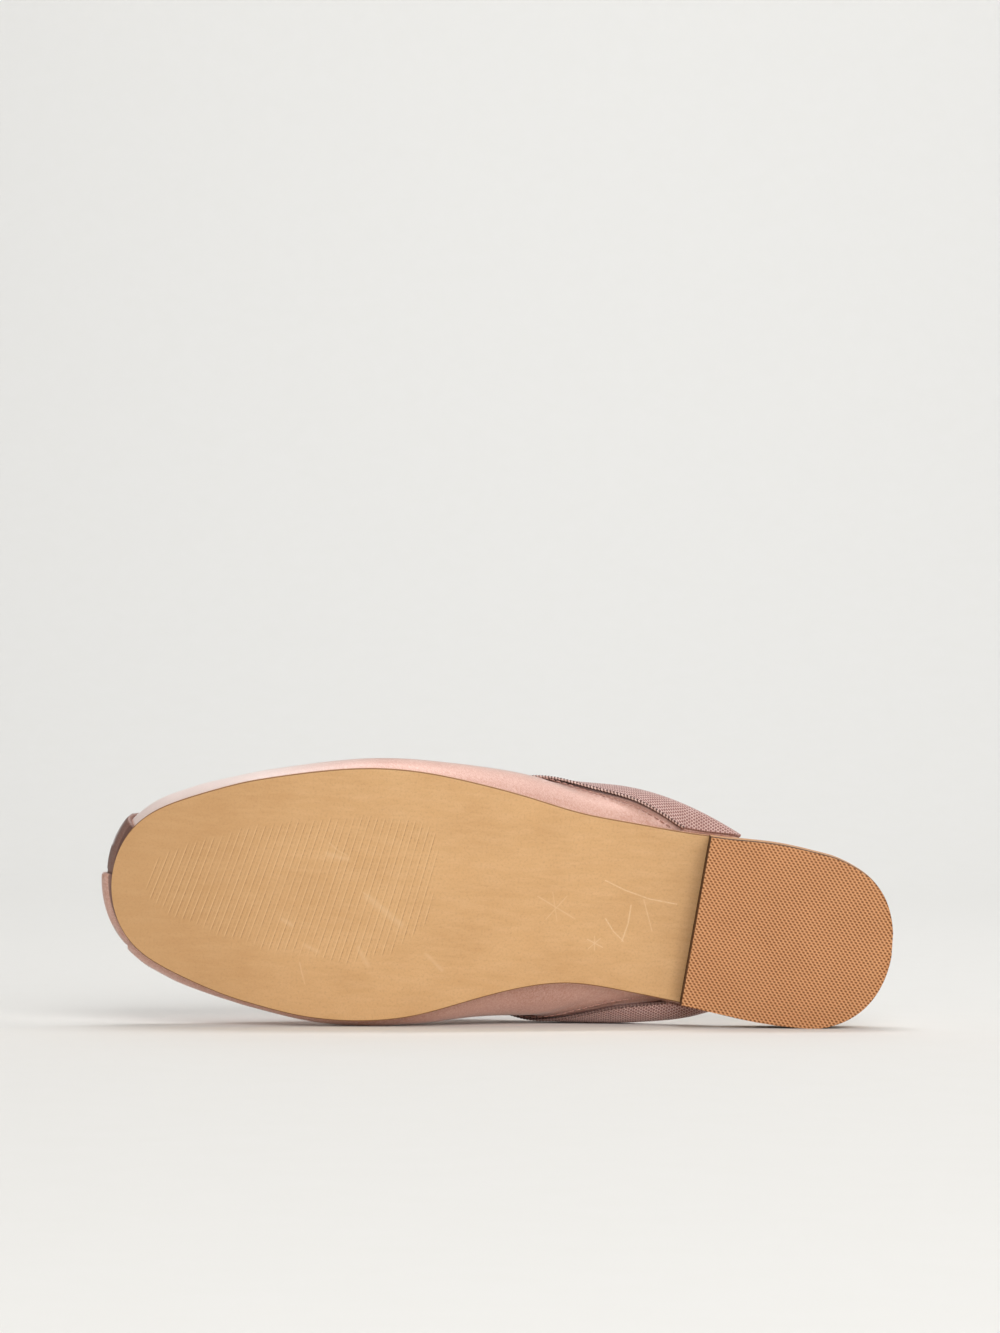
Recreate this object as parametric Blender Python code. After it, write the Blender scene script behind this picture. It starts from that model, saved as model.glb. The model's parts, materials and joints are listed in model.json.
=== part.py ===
"""A left ballet mule in satin, lying on its inner (medial) side as in the photograph.

The shoe is drawn in its own frame, in millimetres, and is then laid on its side:
  u runs from the back of the heel to the toe tip,
  v runs across, positive towards the outer (lateral) side,
  w runs up from the ground that the shoe would stand on.
Every solid is a loft of closed loops. A loop is a path along one face and the same
path back along the other face, so a wall, a sole and a folded ribbon are all made alike.
"""

import math

import bmesh
import bpy
import numpy as np
from mathutils import Matrix

MM = 0.001
GAP = 0.3

# Driving dimensions, in millimetres
SOLE_LENGTH = 250.0
HEEL_HEIGHT = 10.0
TOP_LIFT_THICKNESS = 3.4
OUTSOLE_THICKNESS = 3.0
INSOLE_THICKNESS = 3.0
TOE_SPRING = 7.5
OUTSOLE_BEVEL = 0.35
FOOTBED_BEVEL = 0.8

# The footbed: its edge at the open heel, where it narrows to fit inside the upper, its toe end
FOOTBED_RIM = 0.5
FOOTBED_NARROWING = 7.0
FOOTBED_TOE_GAP = 1.2
FOOTBED_TIP_HALF = 1.0

# The upper stands a little inside the sole's edge, and a ribbon binds its collar
FEATHER_INSET = 0.7
UPPER_WALL = 1.6
RIBBON_THICKNESS = 0.7
RIBBON_WIDTH = 14.0
RIBBON_END_WIDTH = 10.0
RIBBON_GAP = 0.4
RIBBON_CLEARANCE = 1.5
RIBBON_CORNER = 0.4

# Where the sole leaves the ground, measured from the back of the heel
ARCH_START = 67.0
BALL_BACK = 152.0
BALL_FRONT = 186.0
SPRING_POWER = 1.9

# The heel breast is a straight line, slanted so that the medial side reaches further forward.
# The heel tapers towards the ground by HEEL_TAPER on every side.
BREAST_LATERAL = 60.1
BREAST_MEDIAL = 66.3
HEEL_TAPER = 0.35
HEEL_HALF_WIDTH = 28.0
HEEL_TIP = 0.15

# Outline of the outsole: station u, centre line v, half width before the ends are rounded
SOLE_COLUMNS = ("station", "centre", "half_width")
SOLE_TABLE = (
    (0.0, -2.6, 29.6),
    (14.0, -3.8, 27.5),
    (27.0, -3.2, 28.1),
    (42.0, -1.6, 28.7),
    (62.0, 0.5, 27.5),
    (85.0, 3.5, 27.0),
    (102.0, 5.5, 27.4),
    (118.0, 6.3, 30.5),
    (135.0, 5.5, 34.9),
    (152.0, 4.0, 38.9),
    (170.0, 2.9, 40.3),
    (188.0, 2.1, 38.8),
    (202.0, 2.0, 36.1),
    (216.0, 1.9, 33.3),
    (232.0, 1.9, 32.7),
    (250.0, 1.8, 37.0),
)
TOE_ROUND_FROM = 205.0
HEEL_ROUND_TO = 25.0

# Ribs of the upper, from the back to the toe. Each rib starts on the sole edge at "foot" and
# ends on the collar at (top_u, top_v, top_w). It leaves the sole by "out" and "up", and
# reaches the collar from "reach" further out and "drop" lower.
RIB_COLUMNS = ("foot", "top_u", "top_v", "top_w", "out", "up", "reach", "drop")
LATERAL_RIBS = (
    (62.0, 62.0, 33.4, 18.6, 3.2, 2.4, 0.3, 2.4),
    (74.0, 74.0, 37.6, 23.0, 5.8, 2.8, 0.6, 5.0),
    (90.0, 90.0, 40.0, 29.6, 6.6, 4.0, 1.6, 7.5),
    (108.0, 108.0, 37.4, 37.4, 8.2, 8.0, 6.8, 10.5),
    (128.0, 126.0, 30.6, 45.0, 8.8, 10.0, 17.4, 15.0),
    (150.0, 139.5, 22.2, 50.2, 9.0, 9.0, 23.4, 18.5),
    (178.0, 148.5, 13.4, 53.4, 8.8, 8.5, 33.6, 21.0),
    (212.0, 152.6, 6.8, 54.8, 8.0, 8.0, 52.0, 29.0),
)
MEDIAL_RIBS = (
    (62.0, 62.0, -30.2, 18.6, 3.2, 2.4, 0.3, 2.4),
    (74.0, 74.0, -32.8, 23.0, 6.4, 2.8, 0.6, 5.0),
    (90.0, 90.0, -34.8, 29.6, 9.0, 4.0, 1.6, 7.5),
    (108.0, 108.0, -32.9, 37.4, 11.6, 6.0, 6.8, 10.5),
    (128.0, 126.0, -26.4, 45.0, 10.4, 7.0, 14.6, 17.0),
    (150.0, 139.5, -19.0, 50.2, 8.2, 2.8, 18.4, 24.5),
    (178.0, 148.5, -11.4, 53.4, 8.0, 1.6, 26.4, 28.0),
    (212.0, 152.6, -4.6, 54.8, 7.6, 3.0, 48.6, 33.0),
)
TOE_RIB = (250.0, 153.6, 1.1, 55.2, 13.6, 8.0, 72.5, 34.5)

# Where the collar runs down to the sole and ends, and the last rib's out, up, reach and drop
END_LATERAL = 50.0
END_MEDIAL = 56.0
END_HEIGHT = 3.0
END_HANDLES = (0.4, 1.2, -0.3, 1.0)
OUTWARD_LEAN = 40.0

# Where the ribbon narrows towards its ends: on that side (1 is lateral), from full to narrow
NARROWING_COLUMNS = ("side", "full_at", "narrow_at")
NARROWING_TABLE = (
    (-1, 90.0, 66.0),
    (1, 114.0, 82.0),
)

# Knife pleats at the toe: distance of the fold from the toe tip along the sole edge
# (positive to the lateral side), how far the fold stands proud, and how far it takes to die out
PLEAT_COLUMNS = ("position", "proud", "run")
PLEAT_TABLE = (
    (18.8, 1.8, 17.1),
    (1.7, 1.8, 22.5),
    (-20.8, 0.7, 34.0),
)
PLEAT_POWER = 0.8
PLEAT_FADE_START = 0.16
PLEAT_FADE_END = 0.62
LEVEL_UP_TO = 0.15

# What the shoe lies on: the pieces and the stretch of the shoe that each contact is found on
RESTS_ON = (
    (("top_lift", "heel_block", "outsole"), 0.0, 60.0),
    (("upper", "outsole"), 140.0, 260.0),
    (("upper", "binding"), 40.0, 125.0),
)
RESTING_ROUNDS = 30

# Resolution
OUTSOLE_STEP = 4.6
FOOTBED_STEP = 5.2
UPPER_STEP = 6.6
FOLD_LINES = (-1.2, -0.02, 0.25, 1.4)
FOLD_CLEARANCE = 1.6
ROWS_BELOW_RIBBON = (0.0, 0.045, 0.12, 0.23, 0.38, 0.57, 0.79)
ROWS_UNDER_RIBBON = 6
ROWS_INSIDE_RIBBON = 4
HEEL_SECTIONS = 22
HEEL_POINTS_ACROSS = 5
SHARP_ANGLE = math.radians(40)


def column(table, names, name):
    return np.array([row[names.index(name)] for row in table])


def spline(knots, values, at):
    """A natural cubic spline through (knots, values), read at the places in at."""
    knots, values = np.asarray(knots, float), np.asarray(values, float)
    at = np.clip(np.asarray(at, float), knots[0], knots[-1])
    step = np.diff(knots)
    slope = np.diff(values) / step
    matrix = np.eye(len(knots))
    right = np.zeros(len(knots))
    for i in range(1, len(knots) - 1):
        matrix[i, i - 1 : i + 2] = step[i - 1], 2 * (step[i - 1] + step[i]), step[i]
        right[i] = 6 * (slope[i] - slope[i - 1])
    bend = np.linalg.solve(matrix, right)
    i = np.clip(np.searchsorted(knots, at, side="right") - 1, 0, len(step) - 1)
    a = (knots[i + 1] - at) / step[i]
    b = (at - knots[i]) / step[i]
    curve = (a**3 - a) * bend[i] + (b**3 - b) * bend[i + 1]
    return a * values[i] + b * values[i + 1] + curve * step[i] ** 2 / 6


def smooth_step(x):
    x = np.clip(x, 0.0, 1.0)
    return x * x * (3 - 2 * x)


def sole_bottom(u):
    """Height of the outsole's underside: flat heel seat, arch, flat ball and toe spring."""
    arch = HEEL_HEIGHT * smooth_step((BALL_BACK - u) / (BALL_BACK - ARCH_START))
    spring = np.clip((u - BALL_FRONT) / (SOLE_LENGTH - BALL_FRONT), 0, 1) ** SPRING_POWER
    return arch + TOE_SPRING * spring


def sole_edge(u, side):
    """v of the outsole's edge at station u, on the lateral (side 1) or medial (side -1) side."""
    u = np.asarray(u, float)
    stations = column(SOLE_TABLE, SOLE_COLUMNS, "station")
    centre = spline(stations, column(SOLE_TABLE, SOLE_COLUMNS, "centre"), u)
    half = spline(stations, column(SOLE_TABLE, SOLE_COLUMNS, "half_width"), u)
    toe = np.clip((u - TOE_ROUND_FROM) / (SOLE_LENGTH - TOE_ROUND_FROM), 0, 1)
    heel = np.clip((HEEL_ROUND_TO - u) / HEEL_ROUND_TO, 0, 1)
    return centre + side * half * np.sqrt((1 - toe**2) * (1 - heel**2))


def round_stations(start, end, step):
    """Stations from start to end, packed closely where the outline turns round its two ends."""
    count = int(math.ceil(math.pi * (end - start) / 2 / step))
    angle = np.linspace(0, math.pi, count + 1)[1:-1]
    return (start + end) / 2 - (end - start) / 2 * np.cos(angle)


class Feather:
    """The sole edge that the upper stands on, read by the distance s from the toe tip.

    s is positive along the lateral side and negative along the medial side.
    """

    def __init__(self, inset, fine_step=0.5, toe_points=200, last_station=20.0):
        angle = np.linspace(0, math.pi / 2, toe_points)
        near_toe = TOE_ROUND_FROM + (SOLE_LENGTH - TOE_ROUND_FROM) * np.cos(angle)
        behind = np.arange(TOE_ROUND_FROM - fine_step, last_station, -fine_step)
        u = np.concatenate([near_toe, behind])
        lateral = np.stack([u, sole_edge(u, 1)], 1)
        medial = np.stack([u, sole_edge(u, -1)], 1)
        line = np.concatenate([medial[:0:-1], lateral])
        along = np.gradient(line, axis=0)
        along /= np.linalg.norm(along, axis=1, keepdims=True)
        self.normals = np.stack([along[:, 1], -along[:, 0]], 1)
        self.points = line - inset * self.normals
        run = np.concatenate([[0], np.cumsum(np.linalg.norm(np.diff(line, axis=0), axis=1))])
        self.s = run - run[len(medial) - 1]

    def at(self, s):
        """Points on the line, in plan, and the outward normals there."""
        points = np.stack([np.interp(s, self.s, self.points[:, k]) for k in (0, 1)], -1)
        normals = np.stack([np.interp(s, self.s, self.normals[:, k]) for k in (0, 1)], -1)
        return points, normals / np.linalg.norm(normals, axis=-1, keepdims=True)

    def place(self, u, side):
        """The distance s at which the line passes station u on that side."""
        chosen = self.s > 0 if side > 0 else self.s < 0
        order = np.argsort(self.points[chosen, 0])
        return float(np.interp(u, self.points[chosen, 0][order], self.s[chosen][order]))


FEATHER = Feather(FEATHER_INSET)
FIRST = FEATHER.place(END_MEDIAL, -1)
LAST = FEATHER.place(END_LATERAL, 1)


def rib_knot(row, side):
    """A row of a rib table on that side, read by its distance s along the sole edge."""
    return (FEATHER.place(row[0], side), *row[1:])


def end_knot(station, side):
    """The short rib where the collar reaches the sole."""
    top = sole_bottom(station) + OUTSOLE_THICKNESS + END_HEIGHT
    return (FEATHER.place(station, side), station, sole_edge(station, side), top, *END_HANDLES)


KNOT_COLUMNS = ("s", *RIB_COLUMNS[1:])
RIB_KNOTS = np.array(
    [end_knot(END_MEDIAL, -1)]
    + [rib_knot(row, -1) for row in MEDIAL_RIBS]
    + [rib_knot(TOE_RIB, 1)]
    + [rib_knot(row, 1) for row in reversed(LATERAL_RIBS)]
    + [end_knot(END_LATERAL, 1)],
    float,
)


def rib_handles(s):
    """The four Bezier points of the ribs at the distances s, as an array (len(s), 4, 3)."""
    values = [spline(RIB_KNOTS[:, 0], RIB_KNOTS[:, k], s) for k in range(1, len(KNOT_COLUMNS))]
    read = dict(zip(KNOT_COLUMNS[1:], values))
    plan, normal = FEATHER.at(s)
    foot = np.column_stack([plan, sole_bottom(plan[:, 0]) + OUTSOLE_THICKNESS + GAP])
    top = np.column_stack([read["top_u"], read["top_v"], read["top_w"]])
    outward = np.column_stack([normal, np.zeros(len(s))])
    upward = np.array([0.0, 0.0, 1.0])
    towards_foot = (foot - top) * (1, 1, 0) + OUTWARD_LEAN * outward
    towards_foot /= np.linalg.norm(towards_foot, axis=1, keepdims=True)
    leave = foot + outward * read["out"][:, None] + upward * read["up"][:, None]
    arrive = top + towards_foot * read["reach"][:, None] - upward * read["drop"][:, None]
    return np.stack([foot, leave, arrive, top], 1)


def rib_points(s, t):
    """Points of the upper's outer face: s and t are arrays of one shape."""
    handles = rib_handles(s)
    t = t[:, None]
    weights = ((1 - t) ** 3, 3 * t * (1 - t) ** 2, 3 * t**2 * (1 - t), t**3)
    return sum(weight * handles[:, k] for k, weight in enumerate(weights))


def upper_surface(s, t, ds=0.4, dt=0.01):
    """Points and outward unit normals of the upper's smooth outer face."""
    s, t = np.broadcast_arrays(np.asarray(s, float), np.asarray(t, float))
    s, t = s.ravel(), t.ravel()
    across = rib_points(s, np.clip(t + dt, 0, 1)) - rib_points(s, np.clip(t - dt, 0, 1))
    along = rib_points(np.clip(s + ds, FIRST, LAST), t) - rib_points(np.clip(s - ds, FIRST, LAST), t)
    normal = np.cross(along, across)
    normal /= np.linalg.norm(normal, axis=1, keepdims=True)
    return rib_points(s, t), normal


def pleat_height(s, t):
    """How far the pleats lift the outer face: a saw tooth along the toe that dies out upwards."""
    height = np.zeros_like(s)
    for position, proud, run in PLEAT_TABLE:
        behind = position - s
        tooth = proud * np.clip(1 - behind / run, 0, 1) ** PLEAT_POWER
        height = np.where((behind >= 0) & (behind < run), np.maximum(height, tooth), height)
    fade = 1 - smooth_step((t - PLEAT_FADE_START) / (PLEAT_FADE_END - PLEAT_FADE_START))
    return height * fade


def ribbon_width(s):
    """Width of the ribbon at the distances s along the sole edge."""
    share = 0.0
    for side, full_at, narrow_at in NARROWING_TABLE:
        full, narrow = FEATHER.place(full_at, side), FEATHER.place(narrow_at, side)
        share = share + smooth_step((s - full) / (narrow - full))
    return RIBBON_WIDTH - (RIBBON_WIDTH - RIBBON_END_WIDTH) * share


def rib_rows(s, samples=25):
    """Places t of the upper's rows on one rib: the last rows lie under the ribbon."""
    t = np.linspace(0, 1, samples)
    points = rib_points(np.full(samples, s), t)
    run = np.concatenate([[0], np.cumsum(np.linalg.norm(np.diff(points, axis=0), axis=1))])
    start = max(RIBBON_CLEARANCE, run[-1] - ribbon_width(s))
    under = np.interp(np.linspace(start, run[-1], ROWS_UNDER_RIBBON), run, t)
    return np.concatenate([np.array(ROWS_BELOW_RIBBON) * under[0], under])


def offset_directions(normals, rows):
    """The way a wall's thickness is measured: level at the sole edge, square to it above."""
    level = normals * (1, 1, 0)
    level /= np.linalg.norm(level, axis=1, keepdims=True)
    turn = smooth_step(rows / LEVEL_UP_TO)[:, None]
    directions = level * (1 - turn) + normals * turn
    return directions / np.linalg.norm(directions, axis=1, keepdims=True)


def loft(name, loops, finish):
    """A closed solid through loops, an array (loops, points, 3) in the shoe's frame.

    Each patch between two loops is split along its shorter diagonal, so that two walls
    drawn side by side are folded the same way and keep their gap.
    """
    size = len(loops[0])
    mesh = bmesh.new()
    rings = [[mesh.verts.new(point * MM) for point in np.asarray(loop, float)] for loop in loops]
    for near, far in zip(rings, rings[1:]):
        for k in range(size):
            m = (k + 1) % size
            if (near[k].co - far[m].co).length < (near[m].co - far[k].co).length:
                mesh.faces.new((near[k], near[m], far[m]))
                mesh.faces.new((near[k], far[m], far[k]))
            else:
                mesh.faces.new((near[k], near[m], far[k]))
                mesh.faces.new((near[m], far[m], far[k]))
    for ring in (rings[0], rings[-1]):
        for k in range(size // 2 - 1):
            mesh.faces.new((ring[k], ring[k + 1], ring[size - 2 - k], ring[size - 1 - k]))
    bmesh.ops.recalc_face_normals(mesh, faces=mesh.faces)
    data = bpy.data.meshes.new(name)
    mesh.to_mesh(data)
    mesh.free()
    data.shade_smooth()
    data.set_sharp_from_angle(angle=SHARP_ANGLE)
    data.materials.append(finish)
    bpy.context.scene.collection.objects.link(bpy.data.objects.new(name, data))


def make_finish(name, colour, roughness):
    finish = bpy.data.materials.new(name)
    finish.use_nodes = True
    surface = finish.node_tree.nodes["Principled BSDF"]
    surface.inputs["Base Color"].default_value = (*colour, 1.0)
    surface.inputs["Roughness"].default_value = roughness
    surface.inputs["Metallic"].default_value = 0.0
    return finish


def slab_loops(stations, medial, lateral, bottom, thickness, bevel):
    """Loops of a flat piece: across the underside, round the far edge and back over the top."""
    middle, half = (medial + lateral) / 2, (lateral - medial) / 2
    loops = []
    for k, station in enumerate(stations):
        cut = min(bevel, 0.4 * half[k])
        inner = middle[k] + np.array([-1.0, 0.0, 1.0]) * (half[k] - cut)
        v = [medial[k], *inner, lateral[k]]
        low, high = bottom[k], bottom[k] + thickness
        under = [low + cut, low, low, low, low + cut]
        over = [high - cut, high, high, high, high - cut]
        path = list(zip(v, under)) + list(zip(v, over))[::-1]
        loops.append([(station, *point) for point in path])
    return loops


def make_outsole(finish):
    stations = round_stations(0.0, SOLE_LENGTH, OUTSOLE_STEP)
    medial, lateral = sole_edge(stations, -1), sole_edge(stations, 1)
    bottom = sole_bottom(stations)
    shape = slab_loops(stations, medial, lateral, bottom, OUTSOLE_THICKNESS, OUTSOLE_BEVEL)
    loft("outsole", shape, finish)


def heel_face(height):
    """Points of a level cut through the heel, an array (sections, points across, 3)."""
    inset = HEEL_TAPER * (1 - height / HEEL_HEIGHT)
    start = inset + HEEL_TIP
    share = 1 - np.cos(np.linspace(0, math.pi / 2, HEEL_SECTIONS))[:, None]
    across = np.linspace(0, 1, HEEL_POINTS_ACROSS)
    station = start + (BREAST_MEDIAL - start) * share - inset
    medial, lateral = sole_edge(station, -1), sole_edge(station, 1)
    middle = (medial + lateral) / 2
    v = medial + (lateral - medial) * across
    v = middle + (v - middle) * (1 - inset / HEEL_HALF_WIDTH)
    breast = BREAST_MEDIAL + (BREAST_LATERAL - BREAST_MEDIAL) * across
    u = start + (breast - start) * share
    return np.stack([u, v, np.full(v.shape, height)], 2)


def make_heel_layer(name, low, high, finish):
    loft(name, np.concatenate([heel_face(low), heel_face(high)[:, ::-1]], 1), finish)


def make_insole(finish):
    """The footbed: as wide as the outsole at the open heel, narrower inside the upper."""
    length = SOLE_LENGTH - UPPER_WALL - FOOTBED_TOE_GAP
    stations = round_stations(FOOTBED_RIM, length, FOOTBED_STEP)
    inside = UPPER_WALL + RIBBON_THICKNESS + 2 * RIBBON_GAP + 2 * GAP
    edges = []
    for side, end in ((-1, END_MEDIAL), (1, END_LATERAL)):
        narrowing = smooth_step((stations - end + FOOTBED_NARROWING) / FOOTBED_NARROWING)
        inset = FOOTBED_RIM + (inside - FOOTBED_RIM) * narrowing
        edges.append(sole_edge(stations * SOLE_LENGTH / length, side) - side * inset)
    middle = (edges[0] + edges[1]) / 2
    medial = np.minimum(edges[0], middle - FOOTBED_TIP_HALF)
    lateral = np.maximum(edges[1], middle + FOOTBED_TIP_HALF)
    bottom = sole_bottom(stations) + OUTSOLE_THICKNESS + GAP
    shape = slab_loops(stations, medial, lateral, bottom, INSOLE_THICKNESS, FOOTBED_BEVEL)
    loft("insole", shape, finish)


def upper_stations():
    """Distances s of the upper's loops: even steps, with close lines at every pleat's fold."""
    count = int(round((LAST - FIRST) / UPPER_STEP))
    folds = column(PLEAT_TABLE, PLEAT_COLUMNS, "position")
    even = np.linspace(FIRST, LAST, count + 1)
    clear = [s for s in even if np.abs(folds - s).min() > FOLD_CLEARANCE]
    return np.array(sorted(clear + [fold + line for fold in folds for line in FOLD_LINES]))


def make_upper(finish):
    loops = []
    for s in upper_stations():
        rows = rib_rows(s)
        points, normals = upper_surface(s, rows)
        outward = offset_directions(normals, rows)
        lift = pleat_height(np.full(len(rows), s), rows)[:, None]
        inner = points - outward * UPPER_WALL
        loops.append(np.concatenate([points + outward * lift, inner[::-1]]))
    loft("upper", loops, finish)


def make_binding(finish):
    """The ribbon folded over the collar edge, as a channel round the wall of the upper."""
    near, far = RIBBON_GAP, RIBBON_GAP + RIBBON_THICKNESS
    corner = RIBBON_GAP * RIBBON_CORNER
    loops = []
    for s in upper_stations():
        rows = rib_rows(s)
        points, normals = upper_surface(s, rows)
        outward = offset_directions(normals, rows)
        outer, outer_way = points[-ROWS_UNDER_RIBBON:], outward[-ROWS_UNDER_RIBBON:]
        inner, inner_way = points[-ROWS_INSIDE_RIBBON:], outward[-ROWS_INSIDE_RIBBON:]
        edge, way = points[-1], outward[-1]
        beyond = edge - points[-2]
        beyond /= np.linalg.norm(beyond)
        skin = np.concatenate([
            outer + outer_way * far,
            [edge + way * near + beyond * far],
            [edge - way * (UPPER_WALL + near) + beyond * far],
            (inner - inner_way * (UPPER_WALL + far))[::-1],
        ])
        hollow = np.concatenate([
            inner - inner_way * (UPPER_WALL + near),
            [edge - way * (UPPER_WALL + corner) + beyond * near],
            [edge + way * corner + beyond * near],
            (outer + outer_way * near)[::-1],
        ])
        loops.append(np.concatenate([skin, hollow]))
    loft("binding", loops, finish)


def contact_points():
    """For each contact in RESTS_ON, the corners that may touch the ground, in metres."""
    groups = []
    for names, low, high in RESTS_ON:
        corners = [v.co[:] for name in names for v in bpy.data.objects[name].data.vertices]
        groups.append(np.array([c for c in corners if low * MM < c[0] < high * MM]))
    return groups


def resting_place():
    """The matrix that lays the shoe on its medial side, on the heel, the ball and the collar."""
    groups = contact_points()
    shoe_to_side = Matrix(((-1, 0, 0), (0, 0, 1), (0, 1, 0)))
    roll, lean = 0.0, 0.0
    for _ in range(RESTING_ROUNDS):
        turn = Matrix.Rotation(lean, 3, "X") @ Matrix.Rotation(roll, 3, "Y") @ shoe_to_side
        turned = [group @ np.array(turn).T for group in groups]
        heel, ball, collar = [group[group[:, 2].argmin()] for group in turned]
        roll += math.atan2(heel[2] - ball[2], heel[0] - ball[0])
        share = (collar[0] - ball[0]) / (heel[0] - ball[0])
        line = ball + share * (heel - ball)
        lean -= math.atan2(collar[2] - line[2], collar[1] - line[1])
    turn = Matrix.Rotation(lean, 3, "X") @ Matrix.Rotation(roll, 3, "Y") @ shoe_to_side
    corners = [v.co[:] for piece in bpy.data.objects for v in piece.data.vertices]
    laid = np.array(corners) @ np.array(turn).T
    middle = (laid.min(0) + laid.max(0)) / 2
    return Matrix.Translation((-middle[0], -middle[1], -laid[:, 2].min())) @ turn.to_4x4()


def main():
    for old in list(bpy.data.objects):
        bpy.data.objects.remove(old, do_unlink=True)
    make_outsole(make_finish("sole_leather", (0.70, 0.43, 0.21), 0.55))
    make_insole(make_finish("insole_leather", (0.66, 0.42, 0.28), 0.55))
    rubber = make_finish("heel_rubber", (0.56, 0.27, 0.13), 0.62)
    stack = make_finish("heel_stack", (0.60, 0.31, 0.15), 0.50)
    make_heel_layer("top_lift", 0.0, TOP_LIFT_THICKNESS, rubber)
    make_heel_layer("heel_block", TOP_LIFT_THICKNESS + GAP, HEEL_HEIGHT - GAP, stack)
    make_upper(make_finish("satin", (0.60, 0.36, 0.32), 0.42))
    make_binding(make_finish("grosgrain", (0.42, 0.26, 0.23), 0.75))
    place = resting_place()
    for piece in bpy.data.objects:
        piece.matrix_world = place


main()
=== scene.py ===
"""The look of a left ballet mule in satin, lying on its inner (medial) side.

The shoe is drawn in its own frame, in millimetres: u runs from the back of the heel to the
toe tip, v across towards the outer (lateral) side, and w up from the ground that it would
stand on. The places of the two treads say where that frame lies in the scene.
"""

import json
import math

import bpy
import numpy as np
from mathutils import Matrix, Vector


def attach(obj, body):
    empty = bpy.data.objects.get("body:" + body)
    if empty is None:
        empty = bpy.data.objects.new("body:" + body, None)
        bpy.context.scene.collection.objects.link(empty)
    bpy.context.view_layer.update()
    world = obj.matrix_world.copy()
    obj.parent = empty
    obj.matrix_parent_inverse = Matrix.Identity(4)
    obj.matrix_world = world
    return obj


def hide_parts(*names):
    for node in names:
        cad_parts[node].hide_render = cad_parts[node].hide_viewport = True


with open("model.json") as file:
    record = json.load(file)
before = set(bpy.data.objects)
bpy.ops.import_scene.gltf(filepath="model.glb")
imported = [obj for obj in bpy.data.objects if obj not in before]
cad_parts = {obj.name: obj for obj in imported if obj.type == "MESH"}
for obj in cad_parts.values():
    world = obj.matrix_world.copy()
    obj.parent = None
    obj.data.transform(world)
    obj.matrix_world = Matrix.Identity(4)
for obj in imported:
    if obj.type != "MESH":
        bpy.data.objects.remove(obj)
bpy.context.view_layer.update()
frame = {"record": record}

MM = 0.001
GAP = 0.3
COARSE = 1

# Driving dimensions, in millimetres
SOLE_LENGTH = 250.0
HEEL_HEIGHT = 10.0
TOP_LIFT_THICKNESS = 3.4
OUTSOLE_THICKNESS = 3.0
INSOLE_THICKNESS = 3.0
TOE_SPRING = 7.5
OUTSOLE_BEVEL = 0.35
FOOTBED_BEVEL = 0.8
FOOTBED_RIM = 0.5
FOOTBED_NARROWING = 7.0
FOOTBED_TOE_GAP = 1.2
FOOTBED_TIP_HALF = 1.0
FEATHER_INSET = 0.7
UPPER_WALL = 1.6
RIBBON_THICKNESS = 0.7
RIBBON_WIDTH = 14.0
RIBBON_END_WIDTH = 10.0
RIBBON_GAP = 0.4
RIBBON_CLEARANCE = 1.5
RIBBON_CORNER = 0.4
ARCH_START = 67.0
BALL_BACK = 152.0
BALL_FRONT = 186.0
SPRING_POWER = 1.9
BREAST_LATERAL = 60.1
BREAST_MEDIAL = 66.3
HEEL_TAPER = 0.35
HEEL_HALF_WIDTH = 28.0
HEEL_TIP = 0.15

# The sides of the heel's pieces: lines at a height, and how far each lies in from the outline.
# The glue line between the two layers of the stack is at STACK_LINE.
STACK_LINE = 6.7
STACK_LOW = TOP_LIFT_THICKNESS + GAP
STACK_HIGH = HEEL_HEIGHT - GAP
SIDE_COLUMNS = ("height", "inset")
LIFT_TABLE = (
    (0.25, -0.05),
    (1.0, -0.05),
    (2.4, -0.05),
    (TOP_LIFT_THICKNESS - 0.25, -0.05),
)
STACK_TABLE = (
    (STACK_LOW + 0.02, 0.25),
    (STACK_LOW + 0.25, 0.0),
    (4.8, -0.06),
    (5.8, -0.06),
    (6.35, 0.0),
    (STACK_LINE - 0.12, 0.06),
    (STACK_LINE, 0.20),
    (STACK_LINE + 0.12, 0.06),
    (7.05, 0.0),
    (8.0, -0.06),
    (STACK_HIGH - 0.25, 0.0),
    (STACK_HIGH - 0.02, 0.25),
)

# Outline of the outsole
SOLE_COLUMNS = ("station", "centre", "half_width")
SOLE_TABLE = (
    (0.0, -2.6, 29.6),
    (14.0, -3.8, 27.5),
    (27.0, -3.2, 28.1),
    (42.0, -1.6, 28.7),
    (62.0, 0.5, 27.5),
    (85.0, 3.5, 27.0),
    (102.0, 5.5, 27.4),
    (118.0, 6.3, 30.5),
    (135.0, 5.5, 34.9),
    (152.0, 4.0, 38.9),
    (170.0, 2.9, 40.3),
    (188.0, 2.1, 38.8),
    (202.0, 2.0, 36.1),
    (216.0, 1.9, 33.3),
    (232.0, 1.9, 32.7),
    (250.0, 1.8, 37.0),
)
TOE_ROUND_FROM = 205.0
HEEL_ROUND_TO = 25.0

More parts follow.
